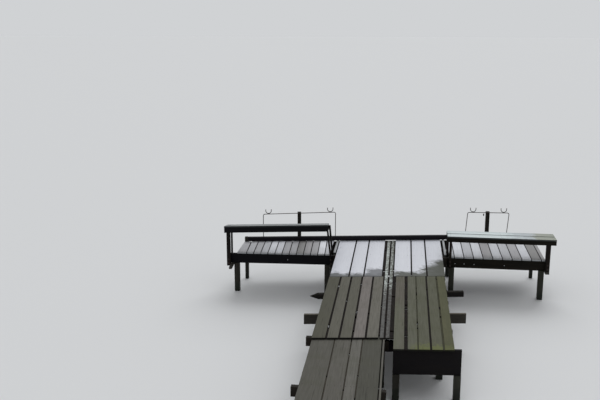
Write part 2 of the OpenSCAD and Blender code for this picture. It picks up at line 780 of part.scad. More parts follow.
// Two cradles stand on the bar, each a rod bent to a U
module rest_cradles(w, h, rise) {
    bend = cradle_w / 2;
    translate([0, kerb_w / 2, h - kerb_h]) rotate([0, -rise, 0])
        for (s = [-1, 1]) translate([s * (w / 2 - cradle_in), 0, bend + rod_d]) {
            rotate([90, 180, 0]) rotate_extrude(angle = 180) translate([bend, 0]) circle(d = rod_d);
            for (t = [-1, 1]) translate([t * bend, 0, 0]) cylinder(d = rod_d, h = cradle_h);
        }
}

module left_rest_post() {
    color("#26241f") place() at_left_rest() rest_post(left_rest_h);
}
module left_rest_bar() {
    color("#2b2622") place() at_left_rest() rest_bar(left_rest_w, left_rest_h, left_rest_rise);
}
module left_rest_legs() {
    color("#2b2622") place() at_left_rest() rest_legs(left_rest_w, left_rest_h, left_rest_rise, 0);
}
module left_rest_cradles() {
    color("#2b2622") place() at_left_rest() rest_cradles(left_rest_w, left_rest_h, left_rest_rise);
}
module right_rest_post() {
    color("#26241f") place() at_right_rest() rest_post(right_rest_h);
}
module right_rest_bar() {
    color("#2b2622") place() at_right_rest() rest_bar(right_rest_w, right_rest_h, 0);
}
module right_rest_legs() {
    color("#2b2622") place() at_right_rest() rest_legs(right_rest_w, right_rest_h, 0, right_rest_lean);
}
module right_rest_cradles() {
    color("#2b2622") place() at_right_rest() rest_cradles(right_rest_w, right_rest_h, 0);
}

// The gangway's boards start under the left strip's end and run over its caps
gang_total = row_width(gang_w, gang_gap);
gang_left = -gang_inner_x - gang_total;
gang_start = near_cap_y + cleat_w / 2 + gang_fit;
module gangway_boards() {
    color("#5d5c57") place() for (i = [0 : len(gang_w) - 1]) {
        x1 = gang_left + total(gang_w, i) + i * gang_gap;
        x2 = x1 + gang_w[i];
        board(x1, x2, -gang_end, -gang_end, slant(-gang_start, deck_skew, x1),
            slant(-gang_start, deck_skew, x2), gang_top, board_t);
    }
}

module gangway_side_strip() {
    x1 = -gang_inner_x + gang_gap;
    color("#4a4945") place() board(x1, x1 + side_w, -gang_end, -gang_end,
        slant(-gang_start, deck_skew, x1), slant(-gang_start, deck_skew, x1 + side_w), gang_top, board_t);
}

module gangway_caps() {
    color("#2f2c28") place() for (k = [0 : gang_bays])
        translate([gang_left - gang_cap_out, -gang_y - k * gang_bay - gang_cap_w / 2,
            gang_under - gang_cap_h]) cube([gang_total + 2 * gang_cap_out, gang_cap_w, gang_cap_h]);
}

module gangway_piles() {
    color("#33302a") place() for (k = [0 : gang_bays], x = [gang_left, -gang_inner_x])
        pile(x, -gang_y - k * gang_bay, gang_pile_w, gang_under - gang_cap_h);
}

left_head_boards();
right_head_boards();
left_edge_board();
right_edge_board();
left_deck_boards();
right_deck_boards();
centre_laths();
deck_cleats();
head_stringers();
deck_stringers();
mid_bearer();
log_cap();
plank_cap();
near_caps();
deck_piles();
left_far_beam();
right_far_beam();
left_kerb();
right_kerb();
left_wing_slats();
right_wing_slats();
left_fascia();
right_fascia();
left_foot_rail();
right_foot_rail();
left_wing_piles();
right_wing_piles();
left_seat();
left_seat_aprons();
left_bench_legs();
right_seat();
right_seat_aprons();
right_bench_legs();
left_rest_post();
left_rest_bar();
left_rest_legs();
left_rest_cradles();
right_rest_post();
right_rest_bar();
right_rest_legs();
right_rest_cradles();
gangway_boards();
gangway_side_strip();
gangway_caps();
gangway_piles();
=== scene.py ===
"""A wooden jetty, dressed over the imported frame: weathered boards, dark damp timbers and rusted rods."""

import logging
import math
from dataclasses import dataclass
from enum import Enum

import bmesh
import bpy
from mathutils import Matrix, Vector, noise


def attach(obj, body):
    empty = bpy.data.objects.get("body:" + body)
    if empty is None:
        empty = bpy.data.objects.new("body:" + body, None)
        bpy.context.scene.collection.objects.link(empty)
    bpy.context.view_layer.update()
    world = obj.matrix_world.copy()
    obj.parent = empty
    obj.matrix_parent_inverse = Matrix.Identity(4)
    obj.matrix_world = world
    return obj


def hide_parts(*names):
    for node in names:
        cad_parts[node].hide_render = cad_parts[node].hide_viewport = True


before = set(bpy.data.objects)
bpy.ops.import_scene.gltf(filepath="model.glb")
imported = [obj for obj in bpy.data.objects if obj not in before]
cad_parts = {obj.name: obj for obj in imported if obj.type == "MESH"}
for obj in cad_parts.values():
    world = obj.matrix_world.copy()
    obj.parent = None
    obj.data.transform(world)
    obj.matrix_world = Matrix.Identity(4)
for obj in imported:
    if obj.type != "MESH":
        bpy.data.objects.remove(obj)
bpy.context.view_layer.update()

LOG = logging.getLogger("jetty")

# Where the middle of the gap between the strips, at the kerb, lies in the frame (metres)
MIDDLE_X = 0.0549
KERB_Y = 4.1999
DECK_TOP = 0.700
MM = 0.001

# Directions in the frame: the near side is the one that the camera sees
UP = Vector((0, 0, 1))
NEARWARDS = Vector((0, -1, 0))

Colour = tuple[float, float, float, float]
Bound = tuple[float | None, float | None, float | None]
Socket = bpy.types.NodeSocket
Tree = bpy.types.NodeTree


class Grain(Enum):
    """The direction in which a timber's fibres run, by the number of the frame's axis."""

    ALONG_X = 0
    ALONG_Y = 1
    ALONG_Z = 2


class Head(Enum):
    """The kinds of fastener that show."""

    NAIL = "nail"
    SCREW = "screw"
    COACH_BOLT = "coach_bolt"


def colour(hex_code: str) -> Colour:
    """Turns an sRGB hex code to linear light, by the sRGB curve.

    Args:
        hex_code: six hex digits, without a sign before them.

    Returns:
        Red, green, blue and an alpha of one.
    """
    parts = [int(hex_code[i:i + 2], 16) / 255 for i in (0, 2, 4)]
    lin = [p / 12.92 if p <= 0.04045 else ((p + 0.055) / 1.055) ** 2.4 for p in parts]
    return (lin[0], lin[1], lin[2], 1.0)


def add_node(tree: Tree, kind: str, links: dict | None = None, **settings: str) -> bpy.types.Node:
    """Adds a node with its settings and its links.

    Args:
        tree: the material's node tree.
        kind: the node's type name.
        links: input names or numbers, each with a socket to link from or a value to set.
        settings: properties of the node itself.

    Returns:
        The new node.
    """
    node = tree.nodes.new(kind)
    for name, value in settings.items():
        setattr(node, name, value)
    for name, value in (links or {}).items():
        if isinstance(value, Socket):
            tree.links.new(value, node.inputs[name])
        else:
            node.inputs[name].default_value = value
    return node


# Finishes

# Sockets of the Mix node, which go by number because they share their names
MIX_SHARE = 0
NUMBER_A = 2
NUMBER_B = 3
COLOUR_A = 6
COLOUR_B = 7
COLOUR_OUT = 2

# The layer that holds each solid's own tone, and how far apart the tones' stretches of pattern lie
PLANK_LAYER = "plank"
PLANK_SHIFT = (37.0, 91.0, 53.0)

# How wide and how long growth rings and checks are drawn, as shares of the streaks' sizes
RING_WIDTH = 3.2
RING_RUN = 0.8
RING_SHARE = 0.7
CHECK_WIDTH = 0.8
CHECK_RUN = 1.9
CHECK_TONE = "0c0b0a"
BLOTCHES_PER_METRE = 3.1

# The stretch of a noise over which each mark fades in, and the one that holds most of a noise
STREAK_SPAN = (0.42, 0.72)
RING_SPAN = (0.5, 0.75)
BLOTCH_SPAN = (0.48, 0.72)
CHECK_SPAN = (0.66, 0.74)
BLOOM_SPAN = (0.45, 0.7)
NOISE_SPAN = (0.3, 0.7)
WHOLE_SPAN = (0.0, 1.0)

# How far a face looks up, or along the grain, before it counts as a top or as a sawn end
TOP_SPAN = (0.3, 0.8)
END_SPAN = (0.6, 0.9)

# How strongly the fibres and the rust's grit raise their faces, and how high the grit stands
RIDGE_STRENGTH = 0.6
GRIT_STRENGTH = 0.4
GRIT_HEIGHT_MM = 0.4

ANYWHERE: Bound = (None, None, None)


def empty_material(name: str) -> bpy.types.Material:
    """Makes a material without nodes.

    Args:
        name: the material's name.

    Returns:
        The new material.
    """
    mat = bpy.data.materials.new(name)
    mat.use_nodes = True
    mat.node_tree.nodes.clear()
    return mat


def lay_over(tree: Tree, base: Socket | Colour, tone: str, amount: Socket, span: tuple[float, float],
             most: float) -> Socket:
    """Lays a tone over a colour, as far as an amount lies within a span.

    Args:
        tree: the material's node tree.
        base: the colour below.
        tone: the hex code of the tone laid over it.
        amount: the socket that says how much shows.
        span: the amounts at which the tone starts to show and shows fully.
        most: the tone's share where it shows fully.

    Returns:
        The mixed colour's socket.
    """
    share = add_node(tree, "ShaderNodeMapRange", {
        "Value": amount, "From Min": span[0], "From Max": span[1], "To Min": 0.0, "To Max": most}).outputs[0]
    return add_node(tree, "ShaderNodeMix", {MIX_SHARE: share, COLOUR_A: base, COLOUR_B: colour(tone)},
                    data_type="RGBA").outputs[COLOUR_OUT]


@dataclass(frozen=True)
class Patch:
    """A patch of dirt, wet, moss or painted reflection on a timber, bounded by a soft box in the frame.

    A bound of None leaves that side open. `ragged` is how far noise moves the patch's edge and `lump` how
    wide that noise is, in metres. `lean_deg` turns the two bounds along the jetty out of square, as the
    kerb is. `rough` is the patch's own roughness, where it differs from the timber's.
    """

    tone: str
    low: Bound = ANYWHERE
    high: Bound = ANYWHERE
    soft: float = 0.05
    ragged: float = 0.1
    lump: float = 0.12
    strength: float = 1.0
    rough: float | None = None
    lean_deg: float = 0.0

    def mask(self, tree: Tree, place: Socket) -> Socket:
        """Builds the patch's mask.

        Args:
            tree: the material's node tree.
            place: the object coordinates.

        Returns:
            A socket that is one inside the patch and falls to nought over its soft edge.
        """
        axes = list(add_node(tree, "ShaderNodeSeparateXYZ", {0: place}).outputs)
        if self.lean_deg:
            lean = -math.tan(math.radians(self.lean_deg))
            axes[1] = add_node(tree, "ShaderNodeMath", {0: axes[0], 1: lean, 2: axes[1]},
                               operation="MULTIPLY_ADD").outputs[0]
        grit = add_node(tree, "ShaderNodeTexNoise", {
            "Vector": place, "Scale": 1 / self.lump, "Detail": 4.0, "Roughness": 0.65}).outputs["Fac"]
        shift = add_node(tree, "ShaderNodeMapRange", {
            "Value": grit, "From Min": NOISE_SPAN[0], "From Max": NOISE_SPAN[1],
            "To Min": -self.ragged, "To Max": self.ragged}).outputs[0]
        total = None
        for axis, (low, high) in enumerate(zip(self.low, self.high)):
            for bound, sign in ((low, 1.0), (high, -1.0)):
                if bound is None:
                    continue
                edge = add_node(tree, "ShaderNodeMath", {0: axes[axis], 1: shift},
                                operation="ADD").outputs[0]
                ramp = add_node(tree, "ShaderNodeMapRange", {
                    "Value": edge, "From Min": bound - sign * self.soft,
                    "From Max": bound + sign * self.soft}, interpolation_type="SMOOTHSTEP").outputs[0]
                total = ramp if total is None else add_node(
                    tree, "ShaderNodeMath", {0: total, 1: ramp}, operation="MULTIPLY").outputs[0]
        return add_node(tree, "ShaderNodeMath", {0: total, 1: self.strength},
                        operation="MULTIPLY").outputs[0]


@dataclass(frozen=True)
class Figure:
    """The sockets that draw a timber's figure: its own tone, fibres, rings, checks and damp blotches."""

    plank: Socket
    fibre: Socket
    rings: Socket
    crack: Socket
    damp: Socket


@dataclass(frozen=True)
class Timber:
    """Sawn softwood left in the open.

    The sun bleaches its face grey, rain raises the fibres into fine ridges and opens checks along the
    grain, and damp leaves darker blotches. Streaks are drawn 13 to 20 mm wide and `run` times as long,
    coarser than real fibres, because finer ones don't show at this size. Each plank takes its own tone
    from `tones`. Faces that don't look up are darkened towards `flank`, a painted shade, and the
    sawn ends may take the tone of `ends`.
    """

    name: str
    grain: Grain
    tones: tuple[str, ...]
    streak: str
    blotch: str
    streak_mix: float = 0.45
    blotch_mix: float = 0.35
    crack_mix: float = 0.6
    streak_mm: float = 14.0
    run: float = 22.0
    rough: tuple[float, float] = (0.72, 0.9)
    bump_mm: float = 0.8
    shine: float = 0.3
    flank: str = "1d1c1b"
    flank_mix: float = 0.0
    ends: str = "1d1c1b"
    ends_mix: float = 0.0
    patches: tuple[Patch, ...] = ()

    def material(self) -> bpy.types.Material:
        """Returns the timber's material, built once."""
        return bpy.data.materials.get(self.name) or self.make()

    def stretch(self, width_mm: float, run: float) -> list[float]:
        """Works out the scale of a pattern that is drawn out along the grain.

        Args:
            width_mm: the width of one mark.
            run: how many times as long as wide the mark is.

        Returns:
            The scale along the three axes.
        """
        scale = [1000 / width_mm] * 3
        scale[self.grain.value] /= run
        return scale

    def figure(self, tree: Tree, place: Socket) -> Figure:
        """Draws the timber's figure. Each solid shows another stretch of it.

        Args:
            tree: the material's node tree.
            place: the object coordinates.

        Returns:
            The figure's sockets.
        """
        plank = add_node(tree, "ShaderNodeAttribute", attribute_name=PLANK_LAYER).outputs["Fac"]
        aside = add_node(tree, "ShaderNodeCombineXYZ", {0: plank, 1: plank, 2: plank}).outputs[0]
        offset = add_node(tree, "ShaderNodeVectorMath", {0: aside, 1: PLANK_SHIFT},
                          operation="MULTIPLY").outputs[0]
        moved = add_node(tree, "ShaderNodeVectorMath", {0: place, 1: offset}, operation="ADD").outputs[0]
        fine, broad, split = (
            add_node(tree, "ShaderNodeMapping", {
                "Vector": moved, "Scale": self.stretch(self.streak_mm * width, self.run * run)}).outputs[0]
            for width, run in ((1.0, 1.0), (RING_WIDTH, RING_RUN), (CHECK_WIDTH, CHECK_RUN)))
        fibre = add_node(tree, "ShaderNodeTexNoise", {
            "Vector": fine, "Scale": 1.0, "Detail": 5.0, "Roughness": 0.6}).outputs["Fac"]
        rings = add_node(tree, "ShaderNodeTexNoise", {
            "Vector": broad, "Scale": 1.0, "Detail": 2.0, "Distortion": 0.8}).outputs["Fac"]
        check = add_node(tree, "ShaderNodeTexNoise", {
            "Vector": split, "Scale": 1.0, "Detail": 1.0}).outputs["Fac"]
        crack = add_node(tree, "ShaderNodeMapRange", {
            "Value": check, "From Min": CHECK_SPAN[0], "From Max": CHECK_SPAN[1]}).outputs[0]
        damp = add_node(tree, "ShaderNodeTexNoise", {
            "Vector": moved, "Scale": BLOTCHES_PER_METRE, "Detail": 5.0, "Roughness": 0.62}).outputs["Fac"]
        return Figure(plank, fibre, rings, crack, damp)

    def own_tone(self, tree: Tree, plank: Socket) -> Socket:
        """Gives each solid its own tone.

        Args:
            tree: the material's node tree.
            plank: the solid's place among the tones, from nought to one.

        Returns:
            The tone's socket.
        """
        ramp = add_node(tree, "ShaderNodeValToRGB", {0: plank})
        stops = ramp.color_ramp.elements
        while len(stops) < len(self.tones):
            stops.new(1.0)
        for i, tone in enumerate(self.tones):
            stops[i].position = i / (len(self.tones) - 1)
            stops[i].color = colour(tone)
        return ramp.outputs["Color"]

    def paint_side_shade(self, tree: Tree, shade: Socket) -> Socket:
        """Paints shade on the faces that don't look up, and tones the sawn ends.

        Args:
            tree: the material's node tree.
            shade: the colour of the top.

        Returns:
            The colour of all the faces.
        """
        normal = add_node(tree, "ShaderNodeNewGeometry").outputs["Normal"]
        facing = add_node(tree, "ShaderNodeSeparateXYZ", {0: normal}).outputs
        side = add_node(tree, "ShaderNodeMapRange", {
            "Value": facing["Z"], "From Min": TOP_SPAN[0], "From Max": TOP_SPAN[1],
            "To Min": self.flank_mix, "To Max": 0.0}, interpolation_type="SMOOTHSTEP").outputs[0]
        shade = add_node(tree, "ShaderNodeMix", {
            MIX_SHARE: side, COLOUR_A: shade, COLOUR_B: colour(self.flank)},
            data_type="RGBA").outputs[COLOUR_OUT]
        if self.ends_mix:
            sawn = add_node(tree, "ShaderNodeMath", {0: facing[self.grain.value]},
                            operation="ABSOLUTE").outputs[0]
            shade = lay_over(tree, shade, self.ends, sawn, END_SPAN, self.ends_mix)
        return shade

    def make(self) -> bpy.types.Material:
        """Builds the timber's material. Its pattern is fixed to the wood by the object coordinates.

        Returns:
            The new material.
        """
        mat = empty_material(self.name)
        tree = mat.node_tree
        place = add_node(tree, "ShaderNodeTexCoord").outputs["Object"]
        figure = self.figure(tree, place)
        shade = self.own_tone(tree, figure.plank)
        shade = lay_over(tree, shade, self.streak, figure.fibre, STREAK_SPAN, self.streak_mix)
        shade = lay_over(tree, shade, self.streak, figure.rings, RING_SPAN, self.streak_mix * RING_SHARE)
        shade = lay_over(tree, shade, self.blotch, figure.damp, BLOTCH_SPAN, self.blotch_mix)
        rough = add_node(tree, "ShaderNodeMapRange", {
            "Value": figure.fibre, "From Min": NOISE_SPAN[0], "From Max": NOISE_SPAN[1],
            "To Min": self.rough[0], "To Max": self.rough[1]}).outputs[0]
        for patch in self.patches:
            mask = patch.mask(tree, place)
            shade = add_node(tree, "ShaderNodeMix", {
                MIX_SHARE: mask, COLOUR_A: shade, COLOUR_B: colour(patch.tone)},
                data_type="RGBA").outputs[COLOUR_OUT]
            if patch.rough is not None:
                rough = add_node(tree, "ShaderNodeMix", {
                    MIX_SHARE: mask, NUMBER_A: rough, NUMBER_B: patch.rough}, data_type="FLOAT").outputs[0]
        shade = lay_over(tree, shade, CHECK_TONE, figure.crack, WHOLE_SPAN, self.crack_mix)
        shade = self.paint_side_shade(tree, shade)
        ridges = add_node(tree, "ShaderNodeMath", {0: figure.fibre, 1: figure.rings},
                          operation="ADD").outputs[0]
        height = add_node(tree, "ShaderNodeMath", {0: ridges, 1: figure.crack},
                          operation="SUBTRACT").outputs[0]
        bump = add_node(tree, "ShaderNodeBump", {
            "Height": height, "Strength": RIDGE_STRENGTH, "Distance": self.bump_mm * MM}).outputs[0]
        shader = add_node(tree, "ShaderNodeBsdfPrincipled", {
            "Base Color": shade, "Roughness": rough, "Specular IOR Level": self.shine, "Normal": bump})
        add_node(tree, "ShaderNodeOutputMaterial", {"Surface": shader.outputs[0]})
        return mat


@dataclass(frozen=True)
class RustedSteel:
    """Mild steel left in the open: a dull scale with blooms of another tone.

    The grit of real rust is too fine to show at this size, so it is drawn `grit_mm` wide.
    """

    name: str
    scale: str
    bloom: str
    metallic: float
    rough: tuple[float, float]
    share: float
    grit_mm: float = 9.0

    def material(self) -> bpy.types.Material:
        """Returns the metal's material, built once."""
        return bpy.data.materials.get(self.name) or self.make()

    def make(self) -> bpy.types.Material:
        """Builds the metal's material.

        Returns:
            The new material.
        """
        mat = empty_material(self.name)
        tree = mat.node_tree
        place = add_node(tree, "ShaderNodeTexCoord").outputs["Object"]
        grit = add_node(tree, "ShaderNodeTexNoise", {
            "Vector": place, "Scale": 1000 / self.grit_mm, "Detail": 6.0, "Roughness": 0.7}).outputs["Fac"]
        shade = lay_over(tree, colour(self.scale), self.bloom, grit, BLOOM_SPAN, self.share)
        rough = add_node(tree, "ShaderNodeMapRange", {
            "Value": grit, "From Min": NOISE_SPAN[0], "From Max": NOISE_SPAN[1],
            "To Min": self.rough[0], "To Max": self.rough[1]}).outputs[0]
        bump = add_node(tree, "ShaderNodeBump", {
            "Height": grit, "Strength": GRIT_STRENGTH, "Distance": GRIT_HEIGHT_MM * MM}).outputs[0]
        shader = add_node(tree, "ShaderNodeBsdfPrincipled", {
            "Base Color": shade, "Roughness": rough, "Metallic": self.metallic, "Normal": bump})
        add_node(tree, "ShaderNodeOutputMaterial", {"Surface": shader.outputs[0]})
        return mat


# The kerb's turn out of square in degrees, how far before its line the painted reflection of the kerb on the
# boards starts, and the near limits of their wet zone with its painted sky reflection (metres)
KERB_SKEW = 9.3
KERB_REFLECTION_BAND = 0.03
WET_SHEEN_LEFT = 2.22
WET_SHEEN_INNER = 2.52
WET_SHEEN_RIGHT = 2.44

# Bleached boards that are wet: pale, partly a painted reflection of the bright sky, up to a ragged edge past
# which they have dried to a dull grey or grey-green. It reaches further up the right strip's outer boards. A
# band along the kerb is darker, a painted reflection of the kerb, and the boards' sides take painted shade.
SILVER_WET_SHEEN = Timber(
    "wet_bleached_softwood_painted_sheen", Grain.ALONG_Y, ("bfc2cc", "c5c8d1", "cbced6"), "b4b7c0", "b6bac3",
    streak_mix=0.25, blotch_mix=0.2, crack_mix=0.12, rough=(0.34, 0.5), bump_mm=0.3, shine=0.5,
    flank="2a2a2d", flank_mix=0.9,
    patches=(
        Patch("55585a", high=(None, WET_SHEEN_LEFT, None), soft=0.08, ragged=0.10, lump=0.12, rough=0.7),
        Patch("5b5e62", low=(-0.27, None, None), high=(0.02, WET_SHEEN_INNER, None), soft=0.06, ragged=0.08,
              lump=0.09, strength=0.9, rough=0.7),
        Patch("454842", low=(0.12, None, None), high=(None, WET_SHEEN_RIGHT, None), soft=0.08, ragged=0.10,
              lump=0.11, rough=0.7),
        Patch("40433c", low=(0.60, None, None), high=(None, 2.78, None), soft=0.09, ragged=0.12, lump=0.12,
              rough=0.7),
        Patch("3c3f36", low=(0.76, None, None), high=(None, 3.08, None), soft=0.10, ragged=0.10, lump=0.12,
              rough=0.75),
        # Darker along the kerb: a painted reflection of the kerb in the wet boards
        Patch("4d4f55", low=(None, KERB_Y - KERB_REFLECTION_BAND, None), soft=0.11, ragged=0.02, lump=0.10,
              strength=0.85, lean_deg=KERB_SKEW),
    ))

# Dry softwood gone grey: matt, with dark checks along the grain, each board in its own tone, and painted
# shade on its sides
GREY_BOARD = Timber(
    "weathered_grey_softwood", Grain.ALONG_Y, ("4b4b41", "545349", "5c5b52", "6c6a63", "787370"), "474640",
    "505143", streak_mix=0.3, blotch_mix=0.3, crack_mix=0.4, shine=0.15, flank="121211", flank_mix=0.95)

# The same wood under a film of algae: olive, yellower with moss at the near end, darker on the outer edge,
# and with painted shade on its sides
OLIVE_BOARD = Timber(
    "weathered_olive_softwood", Grain.ALONG_Y, ("605c55", "5c5d51", "58594c", "56563f"), "46463b", "4c4f3a",
    streak_mix=0.35, blotch_mix=0.4, crack_mix=0.4, shine=0.15, flank="121210", flank_mix=0.95,
    patches=(
        Patch("6a7045", low=(0.40, None, None), high=(None, -0.42, None), soft=0.07, ragged=0.14, lump=0.05,
              strength=0.65, rough=0.95),
        Patch("505240", low=(0.84, None, None), soft=0.03, ragged=0.07, lump=0.08, strength=0.4, rough=0.95),
        Patch("5c5f51", high=(0.31, 1.0, None), soft=0.2, ragged=0.1, lump=0.1, strength=0.75),
    ))

# Narrow boards beside the strips, half wet: a mid grey with a weak sheen, and painted shade on their sides
EDGE_BOARD = Timber(
    "weathered_edge_softwood", Grain.ALONG_Y, ("8d9194", "999ca0"), "74777a", "6c6f70", streak_mix=0.35,
    blotch_mix=0.35, crack_mix=0.3, rough=(0.45, 0.65), flank="1e1e1f", flank_mix=0.9)

# Bleached slats: from nearly white to brownish, one beside the other, with painted shade on their sides and
# pale sawn ends
SLAT = Timber(
    "bleached_slat_softwood", Grain.ALONG_Y, ("727170", "929194", "a9abb0", "bdc0c7", "e4e7ee"), "98989c",
    "8d8d91", streak_mix=0.18, blotch_mix=0.18, crack_mix=0.25, rough=(0.45, 0.65), bump_mm=0.5, shine=0.4,
    flank="1b1b1d", flank_mix=0.9, ends="a8abae", ends_mix=0.85)

# Thin laths bleached nearly white, and mottled where dirt has been trodden into them; their sides take
# painted shade
LATH = Timber(
    "pale_lath_softwood", Grain.ALONG_Y, ("b2b9b7", "bfc7c4"), "777b77", "5a574c", streak_mix=0.5,
    blotch_mix=0.6, crack_mix=0.4, flank="1c1b19", flank_mix=0.9,
    patches=(
        Patch("3d3930", low=(0.06, None, None), soft=0.05, ragged=0.22, lump=0.035, strength=0.85,
              rough=0.95),
        Patch("4b4948", high=(None, 1.60, None), soft=0.35, ragged=0.45, lump=0.05, strength=0.85,
              rough=0.95),
    ))

# Fascias and seat aprons: nearly black and matt, painted shade on these near faces. It looks bluish on the
# left, and on the right it has browner streaks.
LEFT_DARK = Timber(
    "painted_shade_softwood_left", Grain.ALONG_X, ("0b0b0f", "0d0d10"), "17171a", "08080b", streak_mix=0.4,
    blotch_mix=0.4, crack_mix=0.3, rough=(0.7, 0.9), shine=0.12)
RIGHT_DARK = Timber(
    "painted_shade_softwood_right", Grain.ALONG_X, ("0e0d08", "120f0b"), "2b2621", "0a0a06", streak_mix=0.55,
    blotch_mix=0.4, crack_mix=0.3, rough=(0.7, 0.9), shine=0.12)

# The tarred kerbs: nearly black with a purple cast, rubbed to brown at the right one's outer end
KERB_WOOD = Timber(
    "tarred_softwood_kerb", Grain.ALONG_X, ("131119", "17151a"), "2a2220", "0d0d10", streak_mix=0.5,
    blotch_mix=0.4, crack_mix=0.3, rough=(0.65, 0.85), shine=0.15,
    patches=(Patch("3a2c24", low=(2.25, None, None), soft=0.15, ragged=0.15, strength=0.7),))

# Frame timber that never dries: dark brown, with hardly any sheen. The two differ in their grain alone.
FRAME_X = Timber(
    "damp_softwood_bearer", Grain.ALONG_X, ("1f1c19", "24201c"), "2e2822", "141211", shine=0.15)
FRAME_Y = Timber(
    "damp_softwood_stringer", Grain.ALONG_Y, ("1f1c19", "24201c"), "2e2822", "141211", shine=0.15)

# Damp piles: a dark, greyish brown, and over the lowest 160 mm slick and darker still
PILE = Timber(
    "damp_softwood_pile", Grain.ALONG_Z, ("2e2f28", "373630", "2c2a25"), "1f1d19", "232a20", streak_mix=0.5,
    blotch_mix=0.45, rough=(0.6, 0.85), shine=0.2,
    patches=(Patch("171c15", high=(None, None, 0.16), soft=0.03, ragged=0.04, lump=0.05, strength=0.85,
                   rough=0.35),))

# Damp square posts: dark, with a few paler fibres
POST = Timber(
    "dark_square_post", Grain.ALONG_Z, ("1a1815", "201e1a"), "2a2621", "0f0e0d", rough=(0.6, 0.85),
    shine=0.15)

# Tarred legs: nearly black, with brown streaks where the tar is thin
LEG = Timber(
    "tarred_softwood_leg", Grain.ALONG_Z, ("100f0e", "171412"), "2b211c", "0a0b0c", rough=(0.6, 0.85),
    shine=0.12)

# A wet, bleached seat: a pale blue-grey with long streaks, duller and greener towards its outer end, its
# edges nearly black with painted shade
PALE_SEAT = Timber(
    "pale_wet_seat_softwood", Grain.ALONG_X, ("bdc9cc", "c6d2d4"), "94a2a6", "98a5a8", streak_mix=0.5,
    blotch_mix=0.5, crack_mix=0.2, rough=(0.35, 0.55), bump_mm=0.4, shine=0.5, flank="101314",
    flank_mix=0.97,
    patches=(
        Patch("8e969c", low=(2.10, None, None), soft=0.15, ragged=0.14, strength=0.75),
        Patch("6f745c", low=(2.42, None, None), soft=0.08, ragged=0.12, strength=0.8),
    ))

# A seat of bleached wood that is less wet: a mid grey, with edges made nearly black by painted shade
GREY_SEAT = Timber(
    "weathered_seat_softwood", Grain.ALONG_X, ("7c8082", "868a8b"), "5f6466", "565b5d", streak_mix=0.4,
    blotch_mix=0.4, crack_mix=0.3, rough=(0.5, 0.7), flank="0e1216", flank_mix=0.97)

# Old foot rails: a dark, even brown-grey
RAIL = Timber(
    "weathered_foot_rail", Grain.ALONG_Y, ("3c3a36", "45423d"), "2a2824", "282622", shine=0.2)

# Gangway boards: matt and grey with an olive cast, each in its own tone, with painted shade on their sides
GANGWAY = Timber(
    "weathered_gangway_softwood", Grain.ALONG_Y, ("4a4a43", "55544e", "605e59", "6d6c67"), "45443f",
    "494b3c", streak_mix=0.35, blotch_mix=0.35, crack_mix=0.4, shine=0.15, flank="161513", flank_mix=0.95)

# A pine log with its bark on: coarse, wet and nearly black, a tone that is partly painted shade from the
# deck above, and darker still with painted shade on its sides
BARKED_LOG = Timber(
    "barked_pine_log", Grain.ALONG_X, ("1d1b18", "23201c"), "2d2924", "171814", streak_mm=20, bump_mm=2.0,
    shine=0.15, flank="100f0e", flank_mix=0.8)

# Caps under the boards' near ends: nearly black, a painted shade for the dark under the deck's ends
CAP_DARK = Timber(
    "painted_shade_softwood_cap", Grain.ALONG_X, ("100f11", "141214"), "201d1b", "0b0b0c", streak_mix=0.4, shine=0.12)

# The plank that serves as a cap: weathered brown on top, with painted shade on its sides
CAP_PLANK = Timber(
    "weathered_cap_plank", Grain.ALONG_X, ("57534b", "5f5a50"), "3c3832", "40432f", flank="1f1d19",
    flank_mix=0.8)

# Dirt packed in the gaps: matt, in small lumps. The near-black kind is mostly painted shade, the dark seen
# down through the gaps, over some real debris; the others are paler where trodden dry and greenish under
# moss. Its crumbs are too fine to show, so they are drawn 13 to 20 mm wide.
GAP_DIRT_AND_SHADE = Timber(
    "packed_dirt_and_painted_shade", Grain.ALONG_Y, ("141317", "1a191a"), "463f35", "100f11", streak_mix=0.48, streak_mm=13,
    run=1.5, rough=(0.85, 1.0), shine=0.05)
TRODDEN_DIRT = Timber(
    "trodden_dirt", Grain.ALONG_Y, ("34322c", "423e36"), "55504a", "2a2823", streak_mm=20, run=3.0,
    rough=(0.85, 1.0), shine=0.05)
MOSSY_DIRT = Timber(
    "mossy_dirt", Grain.ALONG_Y, ("3a3b2e", "45463a"), "504e42", "2f3026", streak_mm=20, run=3.0,
    rough=(0.85, 1.0), shine=0.05)

# Rusted mild steel: a dark, dull scale with small blooms of orange-brown
RUST = RustedSteel("rusted_mild_steel", "241d19", "4a3123", metallic=0.35, rough=(0.5, 0.85), share=0.6)

# Zinc-plated steel, gone dull: bright enough that the heads show as pale dots on the dark fascia
ZINC = RustedSteel("zinc_plated_steel", "b4b7b8", "8a8d8c", metallic=0.8, rough=(0.35, 0.5), share=0.5)


# Making pieces

# What counts as one vertex (metres), as one flat face and as a sharp edge (degrees)
MERGE_DIST = 2e-5
FLAT_DEG = 0.5
SHARP_DEG = 25
SMOOTH_DEG = 35.0
WELD_SMOOTH_DEG = 60.0

# The waves by which worn faces are drawn in: broad ones to the metre, how far the grain draws them out,
# the finer ones on top, and how far the tone of a solid moves it along them
WAVES_PER_METRE = 7.0
ALONG_GRAIN = 0.45
FINER = 4.3
BROAD_SHARE = 0.5
FINE_SHARE = 0.35
TONE_MOVES = (61, 17)
SEEDS = 97

# The step of the sine that spreads the free tones of a node's solids, and how far they keep from the ends
TONE_STEP = 12.9898
TONE_MARGIN = 0.01

# Steps of the sines that stand for a hand's small errors along and across a row of nails
HAND_ALONG = 7.3
HAND_ACROSS = 3.1

# How near to a board's end a head may stand, as a share of its length, and how deep it is driven
END_SHARE = 0.012
DRIVEN_MM = 0.8

# Two directions count as one when the product of their normals is over this
SAME_WAY = 0.9

# How finely noise picks the lumps of gap dirt and painted shade that have fallen out, and varies the others'
# tops and tones, and how far apart it sees the gaps
LOSS_WAVES = 9.0
TOP_WAVES = 4.0
TONE_WAVES = 5.0
GAPS_APART = 3.0


